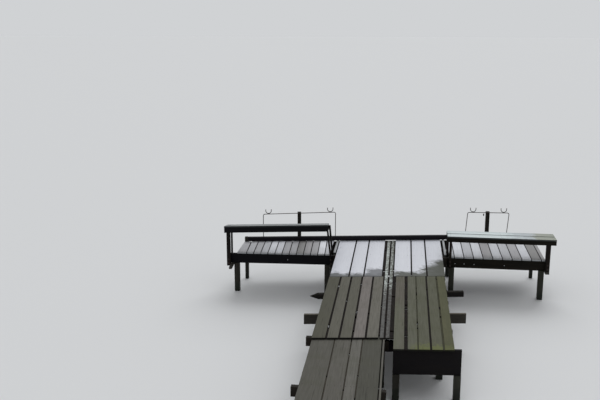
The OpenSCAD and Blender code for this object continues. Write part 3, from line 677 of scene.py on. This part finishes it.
@dataclass(frozen=True)
class Wear:
    """How far a timber has worn: its rounded edges, and how much its faces wander.

    `step` is the distance between the cuts across the grain at which a face can bend, in metres.
    """

    edge_mm: float
    wander_mm: float
    step: float
    grain: Grain = Grain.ALONG_Y

    def round_edges(self, bm: bmesh.types.BMesh) -> None:
        """Rounds the sharp edges of a mesh.

        Args:
            bm: the mesh to change.
        """
        sharp = [e for e in bm.edges if e.is_manifold and e.calc_face_angle(0.0) > math.radians(SHARP_DEG)]
        bmesh.ops.bevel(bm, geom=sharp, offset=self.edge_mm * MM, offset_type="OFFSET", affect="EDGES",
                        segments=2, profile=0.5, material=-1, clamp_overlap=True)

    def cut_across(self, bm: bmesh.types.BMesh) -> None:
        """Cuts a mesh across its grain at even steps, and leaves it whole.

        Args:
            bm: the mesh to change.
        """
        axis = self.grain.value
        normal = Vector((0, 0, 0))
        normal[axis] = 1.0
        low = min(v.co[axis] for v in bm.verts)
        high = max(v.co[axis] for v in bm.verts)
        cuts = max(1, int((high - low) / self.step))
        for i in range(1, cuts):
            bmesh.ops.bisect_plane(bm, geom=bm.verts[:] + bm.edges[:] + bm.faces[:], dist=1e-6,
                                   plane_co=normal * (low + (high - low) * i / cuts), plane_no=normal)

    def draw_in(self, bm: bmesh.types.BMesh, layer: bmesh.types.BMLayerItem, seed: int) -> None:
        """Draws the faces of a mesh in by an uneven amount.

        Args:
            bm: the mesh to change.
            layer: the layer that holds each solid's tone.
            seed: a number that makes this node's waves its own.
        """
        bm.normal_update()
        for vert in bm.verts:
            at = vert.co * WAVES_PER_METRE + Vector((*(vert[layer] * move for move in TONE_MOVES), seed))
            at[self.grain.value] *= ALONG_GRAIN
            wave = BROAD_SHARE + BROAD_SHARE * noise.noise(at) + FINE_SHARE * noise.noise(at * FINER)
            vert.co -= vert.normal * (self.wander_mm * MM * min(1.0, max(0.0, wave)))


def order_key(group: list[bmesh.types.BMVert]) -> tuple[float, float]:
    """Returns a solid's middle, across the frame to the millimetre and then along it."""
    return round(sum(v.co.x for v in group) / len(group), 3), sum(v.co.y for v in group) / len(group)


def middle_of(places: list[Vector]) -> Vector:
    """Returns the middle of some places."""
    return sum(places, Vector()) / len(places)


def islands(bm: bmesh.types.BMesh) -> list[list[bmesh.types.BMVert]]:
    """Splits a mesh into its separate solids.

    Args:
        bm: a mesh whose doubles are merged.

    Returns:
        Each solid's vertices, the solids in order across the frame from left to right.
    """
    seen: set[int] = set()
    groups = []
    bm.verts.index_update()
    for start in bm.verts:
        if start.index in seen:
            continue
        seen.add(start.index)
        stack, group = [start], []
        while stack:
            vert = stack.pop()
            group.append(vert)
            for edge in vert.link_edges:
                other = edge.other_vert(vert)
                if other.index not in seen:
                    seen.add(other.index)
                    stack.append(other)
        groups.append(group)
    return sorted(groups, key=order_key)


def merged_copy(node: str) -> bmesh.types.BMesh:
    """Copies a CAD node's mesh, merges its doubles and joins its flat faces.

    Args:
        node: the CAD node.

    Returns:
        The copy, which the caller frees.
    """
    bm = bmesh.new()
    bm.from_mesh(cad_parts[node].data)
    bmesh.ops.remove_doubles(bm, verts=bm.verts, dist=MERGE_DIST)
    bmesh.ops.dissolve_limit(bm, angle_limit=math.radians(FLAT_DEG), verts=bm.verts, edges=bm.edges)
    return bm


def settle(bm: bmesh.types.BMesh, name: str, finish: Timber | RustedSteel,
           smooth_deg: float = SMOOTH_DEG) -> bpy.types.Object:
    """Turns a mesh into a finished piece that rides on the jetty.

    Args:
        bm: the mesh, with its place in its vertices. It is freed.
        name: the piece's name.
        finish: what it is made of.
        smooth_deg: edges flatter than this are shaded smooth.

    Returns:
        The new object.
    """
    mesh = bpy.data.meshes.new(name)
    bm.to_mesh(mesh)
    bm.free()
    mesh.shade_smooth()
    mesh.set_sharp_from_angle(angle=math.radians(smooth_deg))
    mesh.materials.append(finish.material())
    piece = bpy.data.objects.new(name, mesh)
    bpy.context.scene.collection.objects.link(piece)
    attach(piece, "root")
    return piece


def free_tone(number: int, seed: int) -> float:
    """Returns a tone between nought and one for a solid, by its number and its node's seed."""
    return (0.5 + 0.5 * math.sin(TONE_STEP * (number + 1) + seed)) * (1 - 2 * TONE_MARGIN) + TONE_MARGIN


def worn(node: str, finish: Timber, wear: Wear,
         tones: tuple[float, ...] = ()) -> bpy.types.Object:
    """Replaces a CAD node by a worn copy of itself.

    The sharp edges are rounded, the timber is cut across at steps along its grain, and its faces are
    drawn in by an uneven amount, so that it stays inside the solid that it stands for.

    Args:
        node: the CAD node.
        finish: the timber that it is made of.
        wear: how far it has worn.
        tones: a tone from nought to one for each solid, from left to right. Without it they vary freely.

    Returns:
        The new piece.
    """
    bm = merged_copy(node)
    layer = bm.verts.layers.float.new(PLANK_LAYER)
    seed = sum(ord(c) * (i + 1) for i, c in enumerate(node)) % SEEDS
    for number, group in enumerate(islands(bm)):
        tone = tones[number % len(tones)] if tones else free_tone(number, seed)
        for vert in group:
            vert[layer] = tone
    wear.round_edges(bm)
    wear.cut_across(bm)
    wear.draw_in(bm, layer, seed)
    piece = settle(bm, node + "_worn", finish)
    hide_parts(node)
    return piece


@dataclass(frozen=True)
class Line:
    """A line across the jetty, by its distance from the kerb's middle (metres) and its turn (degrees)."""

    back: float
    skew: float

    def at(self, x: float) -> float:
        """Returns the line's place along the jetty at a place across the frame."""
        return KERB_Y - self.back + math.tan(math.radians(self.skew)) * (x - MIDDLE_X)


@dataclass(frozen=True)
class Fastener:
    """A head of a nail, screw or bolt, seen from outside.

    `top` is the radius of its top as a share of its seat's. A bolt has a washer, whose two radii are
    shares of the head's, and a screw a recess, whose margin and depth are shares of the head's sizes.
    """

    kind: Head
    radius_mm: float
    height_mm: float
    top: float
    sides: int
    seated_mm: float = 0.3
    washer: tuple[float, float] = (1.8, 1.7)
    washer_mm: float = 1.8
    washer_up_mm: float = 0.6
    washer_sides: int = 12
    recess: tuple[float, float] = (0.3, 0.4)

    def stamp(self, bm: bmesh.types.BMesh, at: Vector, normal: Vector) -> None:
        """Adds the head to a mesh.

        Args:
            bm: the mesh to add to.
            at: the middle of the head's seat.
            normal: the way that the head faces.
        """
        turn = normal.to_track_quat("Z", "Y").to_matrix().to_4x4()
        radius = self.radius_mm * MM
        height = self.height_mm * MM
        place = Matrix.Translation(at + normal * (height / 2 - self.seated_mm * MM)) @ turn
        made = bmesh.ops.create_cone(bm, cap_ends=True, segments=self.sides, radius1=radius,
                                     radius2=radius * self.top, depth=height, matrix=place)
        if self.kind is Head.COACH_BOLT:
            under = Matrix.Translation(at + normal * self.washer_up_mm * MM) @ turn
            bmesh.ops.create_cone(bm, cap_ends=True, segments=self.washer_sides,
                                  radius1=radius * self.washer[0], radius2=radius * self.washer[1],
                                  depth=self.washer_mm * MM, matrix=under)
        if self.kind is Head.SCREW:
            margin, depth = self.recess
            caps = {f for v in made["verts"] for f in v.link_faces
                    if len(f.verts) == self.sides and f.normal.dot(normal) > SAME_WAY}
            bmesh.ops.inset_individual(bm, faces=list(caps), thickness=radius * margin,
                                       depth=-height * depth)


NAIL = Fastener(Head.NAIL, radius_mm=5.0, height_mm=1.6, top=0.8, sides=8)
SCREW = Fastener(Head.SCREW, radius_mm=8.0, height_mm=2.6, top=0.7, sides=12)
BOLT = Fastener(Head.COACH_BOLT, radius_mm=9.5, height_mm=6.5, top=0.92, sides=6)


@dataclass(frozen=True)
class Plank:
    """The top of one board: its two ends, each from its left corner to its right one."""

    near: tuple[Vector, Vector]
    far: tuple[Vector, Vector]

    def on(self, line: Line, across: float) -> Vector | None:
        """Finds the place where a line crosses the board.

        Args:
            line: the line across the jetty.
            across: the share of the board's width from its left edge.

        Returns:
            The place on the board's top, or None where the line misses it.
        """
        low = self.near[0].lerp(self.near[1], across)
        high = self.far[0].lerp(self.far[1], across)
        share = (line.at((low.x + high.x) / 2) - low.y) / (high.y - low.y)
        return low.lerp(high, share) if END_SHARE < share < 1 - END_SHARE else None

    def edge(self, side: int, y: float) -> float:
        """Finds the place across the frame of one of the board's edges.

        Args:
            side: nought for the left edge and one for the right.
            y: the place along the frame.

        Returns:
            The place across.
        """
        near, far = self.near[side], self.far[side]
        return near.x + (far.x - near.x) * (y - near.y) / (far.y - near.y)


def planks(node: str) -> list[Plank]:
    """Finds the tops of a node's boards.

    Args:
        node: the CAD node. A solid whose top hasn't four corners is passed over.

    Returns:
        The tops, from left to right.
    """
    bm = merged_copy(node)
    bm.normal_update()
    found = []
    for group in islands(bm):
        top = max((face for vert in group for face in vert.link_faces), key=lambda f: f.normal.z)
        corners = sorted((v.co.copy() for v in top.verts), key=lambda c: c.y)
        if len(corners) != 4:
            continue
        near = sorted(corners[:2], key=lambda c: c.x)
        far = sorted(corners[2:], key=lambda c: c.x)
        found.append(Plank((near[0], near[1]), (far[0], far[1])))
    bm.free()
    return found


@dataclass
class NailRows:
    """Rows of heads where boards cross what carries them.

    `across` gives the heads' places as shares of a board's width. `along_slip` and `across_slip` are how
    far a hand sets a head beside its place, in metres and as a share of the width.
    """

    name: str
    nodes: tuple[str, ...]
    lines: tuple[Line, ...]
    across: tuple[float, ...] = (0.16, 0.84)
    along_slip: float = 0.006
    across_slip: float = 0.03

    def build(self) -> bpy.types.Object:
        """Builds the heads, each a little off its line as a hand leaves it.

        Returns:
            All the heads as one piece.
        """
        bm = bmesh.new()
        count = 0
        for board in (board for node in self.nodes for board in planks(node)):
            for line in self.lines:
                for share in self.across:
                    count += 1
                    row = Line(line.back + self.along_slip * math.sin(count * HAND_ALONG), line.skew)
                    spot = board.on(row, share + self.across_slip * math.sin(count * HAND_ACROSS))
                    if spot is not None:
                        NAIL.stamp(bm, spot - UP * DRIVEN_MM * MM, UP)
        return settle(bm, self.name, RUST)


# Sub-assemblies


@dataclass
class GapDirtAndShade:
    """Dirt packed in the gaps between boards, a little below their tops.

    It lies in lumps, `step` metres long, whose tops vary by `uneven_mm`. Where noise is over `kept_below`, a
    lump has fallen out. `only` names the gaps of a row that are filled, counted from nought. With its
    default near-black finish it is mostly painted shade, the dark seen down through the gaps, over some real
    debris.
    """

    name: str
    rows: tuple[tuple[str, ...], ...]
    sink_mm: float = 9.0
    depth_mm: float = 12.0
    uneven_mm: float = 5.0
    step: float = 0.05
    end_room: float = 0.004
    kept_below: float = 0.44
    finish: Timber = GAP_DIRT_AND_SHADE
    only: tuple[int, ...] | None = None

    def build(self) -> bpy.types.Object:
        """Builds the dirt of all the gaps, which with the near-black finish is mostly painted shade. Here
        and there a length has fallen out.

        Returns:
            All the lumps as one piece.
        """
        bm = bmesh.new()
        layer = bm.verts.layers.float.new(PLANK_LAYER)
        done: set[tuple[float, float]] = set()
        for nodes in self.rows:
            row = [board for node in nodes for board in planks(node)]
            for number, (left, right) in enumerate(zip(row, row[1:])):
                gap = (round(left.near[1].x, 3), round(right.near[0].x, 3))
                if gap not in done and (self.only is None or number in self.only):
                    done.add(gap)
                    self.fill(bm, layer, left, right)
        return settle(bm, self.name, self.finish)

    def fill(self, bm: bmesh.types.BMesh, layer: bmesh.types.BMLayerItem, left: Plank, right: Plank) -> None:
        """Fills one gap with short lumps.

        Args:
            bm: the mesh to add to.
            layer: the layer that keeps each lump's tone.
            left: the board on the gap's left side.
            right: the board on its right side.
        """
        near = max(left.near[1].y, right.near[0].y) + self.end_room
        far = min(left.far[1].y, right.far[0].y) - self.end_room
        count = max(1, int((far - near) / self.step))
        for i in range(count):
            here = Vector((left.near[1].x * GAPS_APART, near + i * self.step, 0.0))
            if noise.noise(here * LOSS_WAVES) > self.kept_below:
                continue
            start = near + (far - near) * i / count
            stop = near + (far - near) * (i + 1) / count
            top = left.near[0].z - (self.sink_mm + self.uneven_mm * noise.noise(here * TOP_WAVES)) * MM
            tone = 0.5 + 0.5 * noise.noise(here * TONE_WAVES)
            for vert in bmesh.ops.create_cube(bm, size=1.0)["verts"]:
                y = stop if vert.co.y > 0 else start
                x = right.edge(0, y) if vert.co.x > 0 else left.edge(1, y)
                z = top if vert.co.z > 0 else top - self.depth_mm * MM
                vert.co = (x, y, z)
                vert[layer] = tone


@dataclass
class Deck:
    """The two strips of boards, the narrow boards beside them and the laths between.

    `joint` is the distance of the joint between the halves from the kerb, and `skew` its turn. The first
    three rows of nails are given by their distances from the kerb and their turns.
    """

    joint: float = 2.040
    skew: float = 8.0
    head_rows: tuple[Line, ...] = (Line(0.465, 6.25), Line(0.90, 3.2), Line(1.565, 8.0))
    nail_inset: float = 0.03
    cleat_step: float = 0.5325
    cleats: int = 4
    board: Wear = Wear(4.5, 1.6, 0.10)
    lath: Wear = Wear(3.0, 1.5, 0.08)
    wide_tones: tuple[float, ...] = (0.35, 0.6, 0.8)
    left_tones: tuple[float, ...] = (0.15, 0.55, 0.48, 0.98, 0.72)
    right_tones: tuple[float, ...] = (0.02, 0.3, 0.6, 0.7, 0.98)

    def build(self) -> list[bpy.types.Object]:
        """Builds the boards, their nails, and the dirt and painted shade between them.

        Returns:
            The new pieces.
        """
        head_lines = self.head_rows + (Line(self.joint - self.nail_inset, self.skew),)
        deck_lines = (Line(self.joint + self.nail_inset, self.skew),) + tuple(
            Line(self.joint + k * self.cleat_step, self.skew) for k in range(1, self.cleats + 1))
        return [
            worn("left_head_boards", SILVER_WET_SHEEN, self.board, self.wide_tones),
            worn("right_head_boards", SILVER_WET_SHEEN, self.board, self.wide_tones[::-1]),
            worn("left_edge_board", EDGE_BOARD, self.board),
            worn("right_edge_board", EDGE_BOARD, self.board),
            worn("left_deck_boards", GREY_BOARD, self.board, self.left_tones),
            worn("right_deck_boards", OLIVE_BOARD, self.board, self.right_tones),
            worn("centre_laths", LATH, self.lath),
            NailRows("head_board_nails", ("left_head_boards", "right_head_boards"), head_lines).build(),
            NailRows("deck_board_nails", ("left_deck_boards", "right_deck_boards"), deck_lines).build(),
            GapDirtAndShade("deck_gap_dirt_and_shade", (
                ("left_head_boards", "centre_laths", "right_head_boards"),
                ("left_deck_boards", "centre_laths", "right_deck_boards"))).build(),
            GapDirtAndShade("right_deck_gap_moss", (("right_deck_boards",),), sink_mm=4.0, depth_mm=5.0,
                    kept_below=0.36, finish=MOSSY_DIRT, only=(1, 3)).build(),
        ]


@dataclass
class DeckFrame:
    """What carries the boards: cleats, stringers, caps and piles."""

    beam: Wear = Wear(3.0, 1.5, 0.12, Grain.ALONG_X)
    stringer: Wear = Wear(3.0, 1.5, 0.12)
    pile: Wear = Wear(4.0, 1.8, 0.07, Grain.ALONG_Z)
    log: Wear = Wear(4.0, 4.0, 0.04, Grain.ALONG_X)

    def build(self) -> list[bpy.types.Object]:
        """Builds the frame's timbers.

        Returns:
            The new pieces.
        """
        return [
            worn("deck_cleats", FRAME_X, self.beam),
            worn("head_stringers", FRAME_Y, self.stringer),
            worn("deck_stringers", FRAME_Y, self.stringer),
            worn("mid_bearer", FRAME_X, self.beam),
            worn("plank_cap", CAP_PLANK, self.beam),
            worn("near_caps", CAP_DARK, self.beam),
            worn("deck_piles", PILE, self.pile),
            worn("log_cap", BARKED_LOG, self.log),
        ]


@dataclass
class Wing:
    """One wing: its slats, kerb, far beam, fascia and piles.

    Each of `screws` is a screw's place across the frame and its depth under the deck's top, in metres.
    """

    side: str
    fascia: Line
    dark: Timber
    slat_tones: tuple[float, ...]
    screws: tuple[tuple[float, float], ...]
    nail_inset: float = 0.03
    nail_shares: tuple[float, float] = (0.25, 0.75)
    dirt_kept_below: float = 0.38
    screw_sunk_mm: float = 1.2
    slat: Wear = Wear(3.0, 2.2, 0.08)
    beam: Wear = Wear(4.0, 1.8, 0.10, Grain.ALONG_X)
    pile: Wear = Wear(5.0, 2.0, 0.07, Grain.ALONG_Z)

    def build(self) -> list[bpy.types.Object]:
        """Builds the wing, its nails and screws, and the dirt and painted shade in its gaps.

        Returns:
            The new pieces.
        """
        side = self.side
        slats = side + "_wing_slats"
        nail_line = Line(self.fascia.back - self.nail_inset, self.fascia.skew)
        return [
            worn(slats, SLAT, self.slat, self.slat_tones),
            worn(side + "_kerb", KERB_WOOD, self.beam),
            worn(side + "_far_beam", FRAME_X, self.beam),
            worn(side + "_fascia", self.dark, self.beam),
            worn(side + "_wing_piles", PILE, self.pile),
            NailRows(side + "_slat_nails", (slats,), (nail_line,), across=self.nail_shares).build(),
            GapDirtAndShade(side + "_slat_gap_dirt_and_shade", ((slats,),), kept_below=self.dirt_kept_below).build(),
            self.fascia_screws(),
        ]

    def fascia_screws(self) -> bpy.types.Object:
        """Builds the bright screw heads on the fascia's face.

        Returns:
            All the heads as one piece.
        """
        bm = bmesh.new()
        turn = math.radians(self.fascia.skew)
        normal = Vector((math.sin(turn), -math.cos(turn), 0.0))
        for x, below in self.screws:
            face = Vector((x, self.fascia.at(x), DECK_TOP - below))
            SCREW.stamp(bm, face - normal * self.screw_sunk_mm * MM, normal)
        return settle(bm, self.side + "_fascia_screws", ZINC)


@dataclass
class Bench:
    """A bench: seat boards, aprons, legs and the foot rail.

    `bolt_heights` are the bolts' heights over a leg's foot, `screw_shares` the seat screws' places along
    a board, and `screw_out` how far they lie from its middle, as a share of its width.
    """

    side: str
    wood: Timber
    dark: Timber
    bolt_heights: tuple[float, float] = (0.045, 0.115)
    bolt_sunk_mm: float = 1.2
    screw_shares: tuple[float, float, float] = (0.03, 0.5, 0.97)
    screw_out: float = 0.28
    face_band: float = 0.012
    foot_band: float = 0.02
    top_from: float = 0.3
    long: Wear = Wear(3.5, 1.4, 0.10, Grain.ALONG_X)
    leg: Wear = Wear(3.0, 1.2, 0.06, Grain.ALONG_Z)
    rail: Wear = Wear(4.0, 1.6, 0.06)

    def build(self) -> list[bpy.types.Object]:
        """Builds the bench with its bolts and screws.

        Returns:
            The new pieces.
        """
        side = self.side
        return [
            worn(side + "_seat", self.wood, self.long),
            worn(side + "_seat_aprons", self.dark, self.long),
            worn(side + "_bench_legs", LEG, self.leg),
            worn(side + "_foot_rail", RAIL, self.rail),
            self.leg_bolts(),
            self.seat_screws(),
        ]

    def leg_bolts(self) -> bpy.types.Object:
        """Builds two coach bolts in the near face of each leg, where it crosses the fascia or the rail.

        Returns:
            All the bolts' heads as one piece.
        """
        bm = bmesh.new()
        legs = merged_copy(self.side + "_bench_legs")
        for group in islands(legs):
            near = min(v.co.y for v in group)
            foot = min(v.co.z for v in group)
            low = middle_of([v.co for v in group
                             if v.co.y < near + self.face_band and v.co.z < foot + self.foot_band])
            top = [v.co for v in group if v.co.z > foot + self.top_from]
            lean = 0.0
            if top:
                rise = sum(c.z for c in top) / len(top) - foot
                lean = (sum(c.x for c in top) / len(top) - low.x) / rise
            for up in self.bolt_heights:
                at = Vector((low.x + lean * up, near + self.bolt_sunk_mm * MM, foot + up))
                BOLT.stamp(bm, at, NEARWARDS)
        legs.free()
        return settle(bm, self.side + "_leg_bolts", RUST)

    def seat_screws(self) -> bpy.types.Object:
        """Builds the screws that hold each seat board, three pairs along it.

        Returns:
            All the screws' heads as one piece.
        """
        bm = bmesh.new()
        for board in planks(self.side + "_seat"):
            left, right = board.near[0].lerp(board.far[0], 0.5), board.near[1].lerp(board.far[1], 0.5)
            out = (board.far[0] - board.near[0]) * self.screw_out
            up = (right - left).cross(out).normalized()
            for share in self.screw_shares:
                for sign in (-1, 1):
                    NAIL.stamp(bm, left.lerp(right, share) + out * sign - up * DRIVEN_MM * MM, up)
        return settle(bm, self.side + "_seat_screws", RUST)


@dataclass
class RodRest:
    """A rod rest: its post, and the bent rod with its legs and cradles.

    `feet` gives the parts that are welded on, each with its weld's height in metres and its radius in
    millimetres. `clip_parts` gives the clip's two cylinders by drop, radius and length in millimetres.
    """

    side: str
    clip_x: float | None = None
    feet: tuple[tuple[str, float, float], ...] = (("cradles", 0.004, 9.5), ("legs", 0.003, 10.0))
    foot_band: float = 0.004
    lumps: int = 5
    lump_share: float = 0.6
    spread_mm: float = 5.0
    clip_parts: tuple[tuple[float, float, float], ...] = ((0.0, 11.0, 12.0), (17.0, 9.0, 26.0))
    rod_sides: int = 12
    post: Wear = Wear(4.0, 1.5, 0.05, Grain.ALONG_Z)

    def build(self) -> list[bpy.types.Object]:
        """Builds the post and the small parts on the rod.

        Returns:
            The new pieces.
        """
        return [
            worn(self.side + "_rest_post", POST, self.post),
            self.welds(),
        ]

    def welds(self) -> bpy.types.Object:
        """Builds the lumpy weld under each cradle and round each leg's foot, and the clip, if any.

        Returns:
            All of it as one piece.
        """
        bm = bmesh.new()
        for part, height, radius in self.feet:
            rods = merged_copy(f"{self.side}_rest_{part}")
            for group in islands(rods):
                low = min(v.co.z for v in group)
                foot = middle_of([v.co for v in group if v.co.z < low + self.foot_band])
                for k in range(self.lumps):
                    turn = k * math.tau / self.lumps
                    slip = Vector((math.cos(turn), math.sin(turn), 0.0)) * self.spread_mm * MM
                    place = Matrix.Translation((foot.x + slip.x, foot.y + slip.y, low + height))
                    bmesh.ops.create_icosphere(bm, subdivisions=2, radius=radius * self.lump_share * MM,
                                               matrix=place)
            rods.free()
        if self.clip_x is not None:
            self.clip(bm)
        return settle(bm, self.side + "_rest_welds", RUST, WELD_SMOOTH_DEG)

    def clip(self, bm: bmesh.types.BMesh) -> None:
        """Adds the small clip that hangs under the bar.

        Args:
            bm: the mesh to add to.
        """
        bar = merged_copy(self.side + "_rest_bar")
        ends = sorted((v.co.copy() for v in bar.verts), key=lambda c: c.x)
        bar.free()
        low, high = middle_of(ends[:self.rod_sides]), middle_of(ends[-self.rod_sides:])
        at = low.lerp(high, (self.clip_x - low.x) / (high.x - low.x))
        for drop, radius, length in self.clip_parts:
            place = Matrix.Translation((at.x, at.y, at.z - drop * MM))
            bmesh.ops.create_cone(bm, cap_ends=True, segments=self.rod_sides, radius1=radius * MM,
                                  radius2=radius * MM, depth=length * MM, matrix=place)

    def dress(self) -> None:
        """Gives the rods their rust. Their solids are already the real shape."""
        for part in ("bar", "legs", "cradles"):
            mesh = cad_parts[f"{self.side}_rest_{part}"].data
            mesh.materials.clear()
            mesh.materials.append(RUST.material())


@dataclass
class Gangway:
    """The gangway's boards, its side strip, caps and piles."""

    first_cap: float = 4.420
    bay: float = 1.400
    bays: int = 3
    tones: tuple[float, ...] = (0.42, 0.6, 0.85, 0.08)
    nail_shares: tuple[float, ...] = (0.14, 0.5, 0.86)
    dirt_sink_mm: float = 5.0
    board: Wear = Wear(4.5, 1.8, 0.10)
    strip: Wear = Wear(3.0, 1.2, 0.10)
    cap: Wear = Wear(3.0, 1.5, 0.10, Grain.ALONG_X)
    pile: Wear = Wear(4.0, 1.8, 0.07, Grain.ALONG_Z)

    def build(self) -> list[bpy.types.Object]:
        """Builds the gangway, its nails and the dirt in its gaps.

        Returns:
            The new pieces.
        """
        boards = ("gangway_boards",)
        lines = tuple(Line(self.first_cap + k * self.bay, 0.0) for k in range(self.bays + 1))
        return [
            worn("gangway_boards", GANGWAY, self.board, self.tones),
            worn("gangway_side_strip", GANGWAY, self.strip),
            worn("gangway_caps", FRAME_X, self.cap),
            worn("gangway_piles", PILE, self.pile),
            NailRows("gangway_nails", boards, lines, across=self.nail_shares).build(),
            GapDirtAndShade("gangway_gap_dirt", (boards,), sink_mm=self.dirt_sink_mm, finish=TRODDEN_DIRT).build(),
        ]


# Stage


@dataclass
class Studio:
    """The floor, the sky, the lamp and the camera. Sizes are in metres and turns in degrees."""

    floor_tone: str = "dcdee0"
    floor_half: float = 150.0
    floor_drop: float = 0.001
    floor_rough: float = 0.9
    floor_shine: float = 0.1
    sky: float = 0.55
    horizon: str = "d0d2d4"
    key: float = 1.3
    key_spread: float = 50.0
    key_turn: tuple[float, float] = (-40.0, 6.0)
    lens_mm: float = 48.0
    sensor_mm: float = 36.0
    clip: tuple[float, float] = (0.1, 500.0)
    eye: tuple[float, float, float] = (0.2199, -9.7501, 4.70)
    pitch: float = 13.23
    yaw: float = 7.42

    def build(self) -> None:
        """Builds the stage."""
        bpy.context.scene.view_settings.view_transform = "Standard"
        self.floor()
        self.world()
        self.lamp()
        self.camera()

    def floor(self) -> None:
        """Builds the pale floor, just under the piles' feet."""
        bm = bmesh.new()
        bmesh.ops.create_grid(bm, x_segments=1, y_segments=1, size=self.floor_half,
                              matrix=Matrix.Translation((0, 0, -self.floor_drop)))
        mesh = bpy.data.meshes.new("floor")
        bm.to_mesh(mesh)
        bm.free()
        mat = empty_material("studio_floor")
        shader = add_node(mat.node_tree, "ShaderNodeBsdfPrincipled", {
            "Base Color": colour(self.floor_tone), "Roughness": self.floor_rough,
            "Specular IOR Level": self.floor_shine})
        add_node(mat.node_tree, "ShaderNodeOutputMaterial", {"Surface": shader.outputs[0]})
        mesh.materials.append(mat)
        floor = bpy.data.objects.new("floor", mesh)
        bpy.context.scene.collection.objects.link(floor)

    def world(self) -> None:
        """Builds the soft sky, which the camera and reflections see as a plain pale backdrop."""
        world = bpy.data.worlds.new("studio_sky")
        world.use_nodes = True
        tree = world.node_tree
        tree.nodes.clear()
        path = add_node(tree, "ShaderNodeLightPath").outputs
        seen = path["Is Camera Ray"]
        for ray in ("Is Glossy Ray", "Is Transmission Ray"):
            seen = add_node(tree, "ShaderNodeMath", {0: seen, 1: path[ray]}, operation="MAXIMUM").outputs[0]
        light = add_node(tree, "ShaderNodeBackground", {"Color": colour("ffffff"), "Strength": self.sky})
        shown = add_node(tree, "ShaderNodeBackground", {"Color": colour(self.horizon), "Strength": 1.0})
        mixed = add_node(tree, "ShaderNodeMixShader", {0: seen, 1: light.outputs[0], 2: shown.outputs[0]})
        add_node(tree, "ShaderNodeOutputWorld", {"Surface": mixed.outputs[0]})
        bpy.context.scene.world = world

    def lamp(self) -> None:
        """Builds the broad lamp that gives soft shadows."""
        light = bpy.data.lights.new("soft_key", "SUN")
        light.energy = self.key
        light.angle = math.radians(self.key_spread)
        lamp = bpy.data.objects.new("soft_key", light)
        lamp.rotation_euler = (math.radians(self.key_turn[0]), math.radians(self.key_turn[1]), 0.0)
        bpy.context.scene.collection.objects.link(lamp)

    def camera(self) -> None:
        """Builds the camera at the photograph's viewing angle."""
        eye = bpy.data.cameras.new("bank_view")
        eye.lens = self.lens_mm
        eye.sensor_width = self.sensor_mm
        eye.clip_start, eye.clip_end = self.clip
        camera = bpy.data.objects.new("bank_view", eye)
        camera.location = self.eye
        camera.rotation_euler = (math.radians(90 - self.pitch), 0.0, math.radians(self.yaw))
        bpy.context.scene.collection.objects.link(camera)
        bpy.context.scene.camera = camera


def main() -> None:
    """Builds the jetty in order and reports each piece."""
    logging.basicConfig(level=logging.INFO, format="%(name)s: %(message)s")
    Studio().build()
    left_wing = Wing(
        "left", Line(0.940, 2.9), LEFT_DARK,
        slat_tones=(0.4, 0.5, 0.45, 0.6, 0.88, 0.82, 0.4, 0.4, 0.02, 0.22, 0.3, 0.96, 0.75),
        screws=((-1.675, 0.118),))
    right_wing = Wing(
        "right", Line(0.880, 0.5), RIGHT_DARK,
        slat_tones=(0.6, 0.9, 0.64, 0.86, 0.25, 0.79, 0.6, 0.35, 0.83, 0.0, 0.12),
        screws=((1.145, 0.120), (1.295, 0.121), (1.46, 0.122), (1.955, 0.124)))
    benches = [Bench("left", GREY_SEAT, LEFT_DARK), Bench("right", PALE_SEAT, RIGHT_DARK)]
    rests = [RodRest("left"), RodRest("right", clip_x=1.687)]
    for part in (Deck(), DeckFrame(), left_wing, right_wing, *benches, *rests, Gangway()):
        for piece in part.build():
            LOG.info("%s: %d faces", piece.name, len(piece.data.polygons))
    for rest in rests:
        rest.dress()


if __name__ == "__main__":
    main()
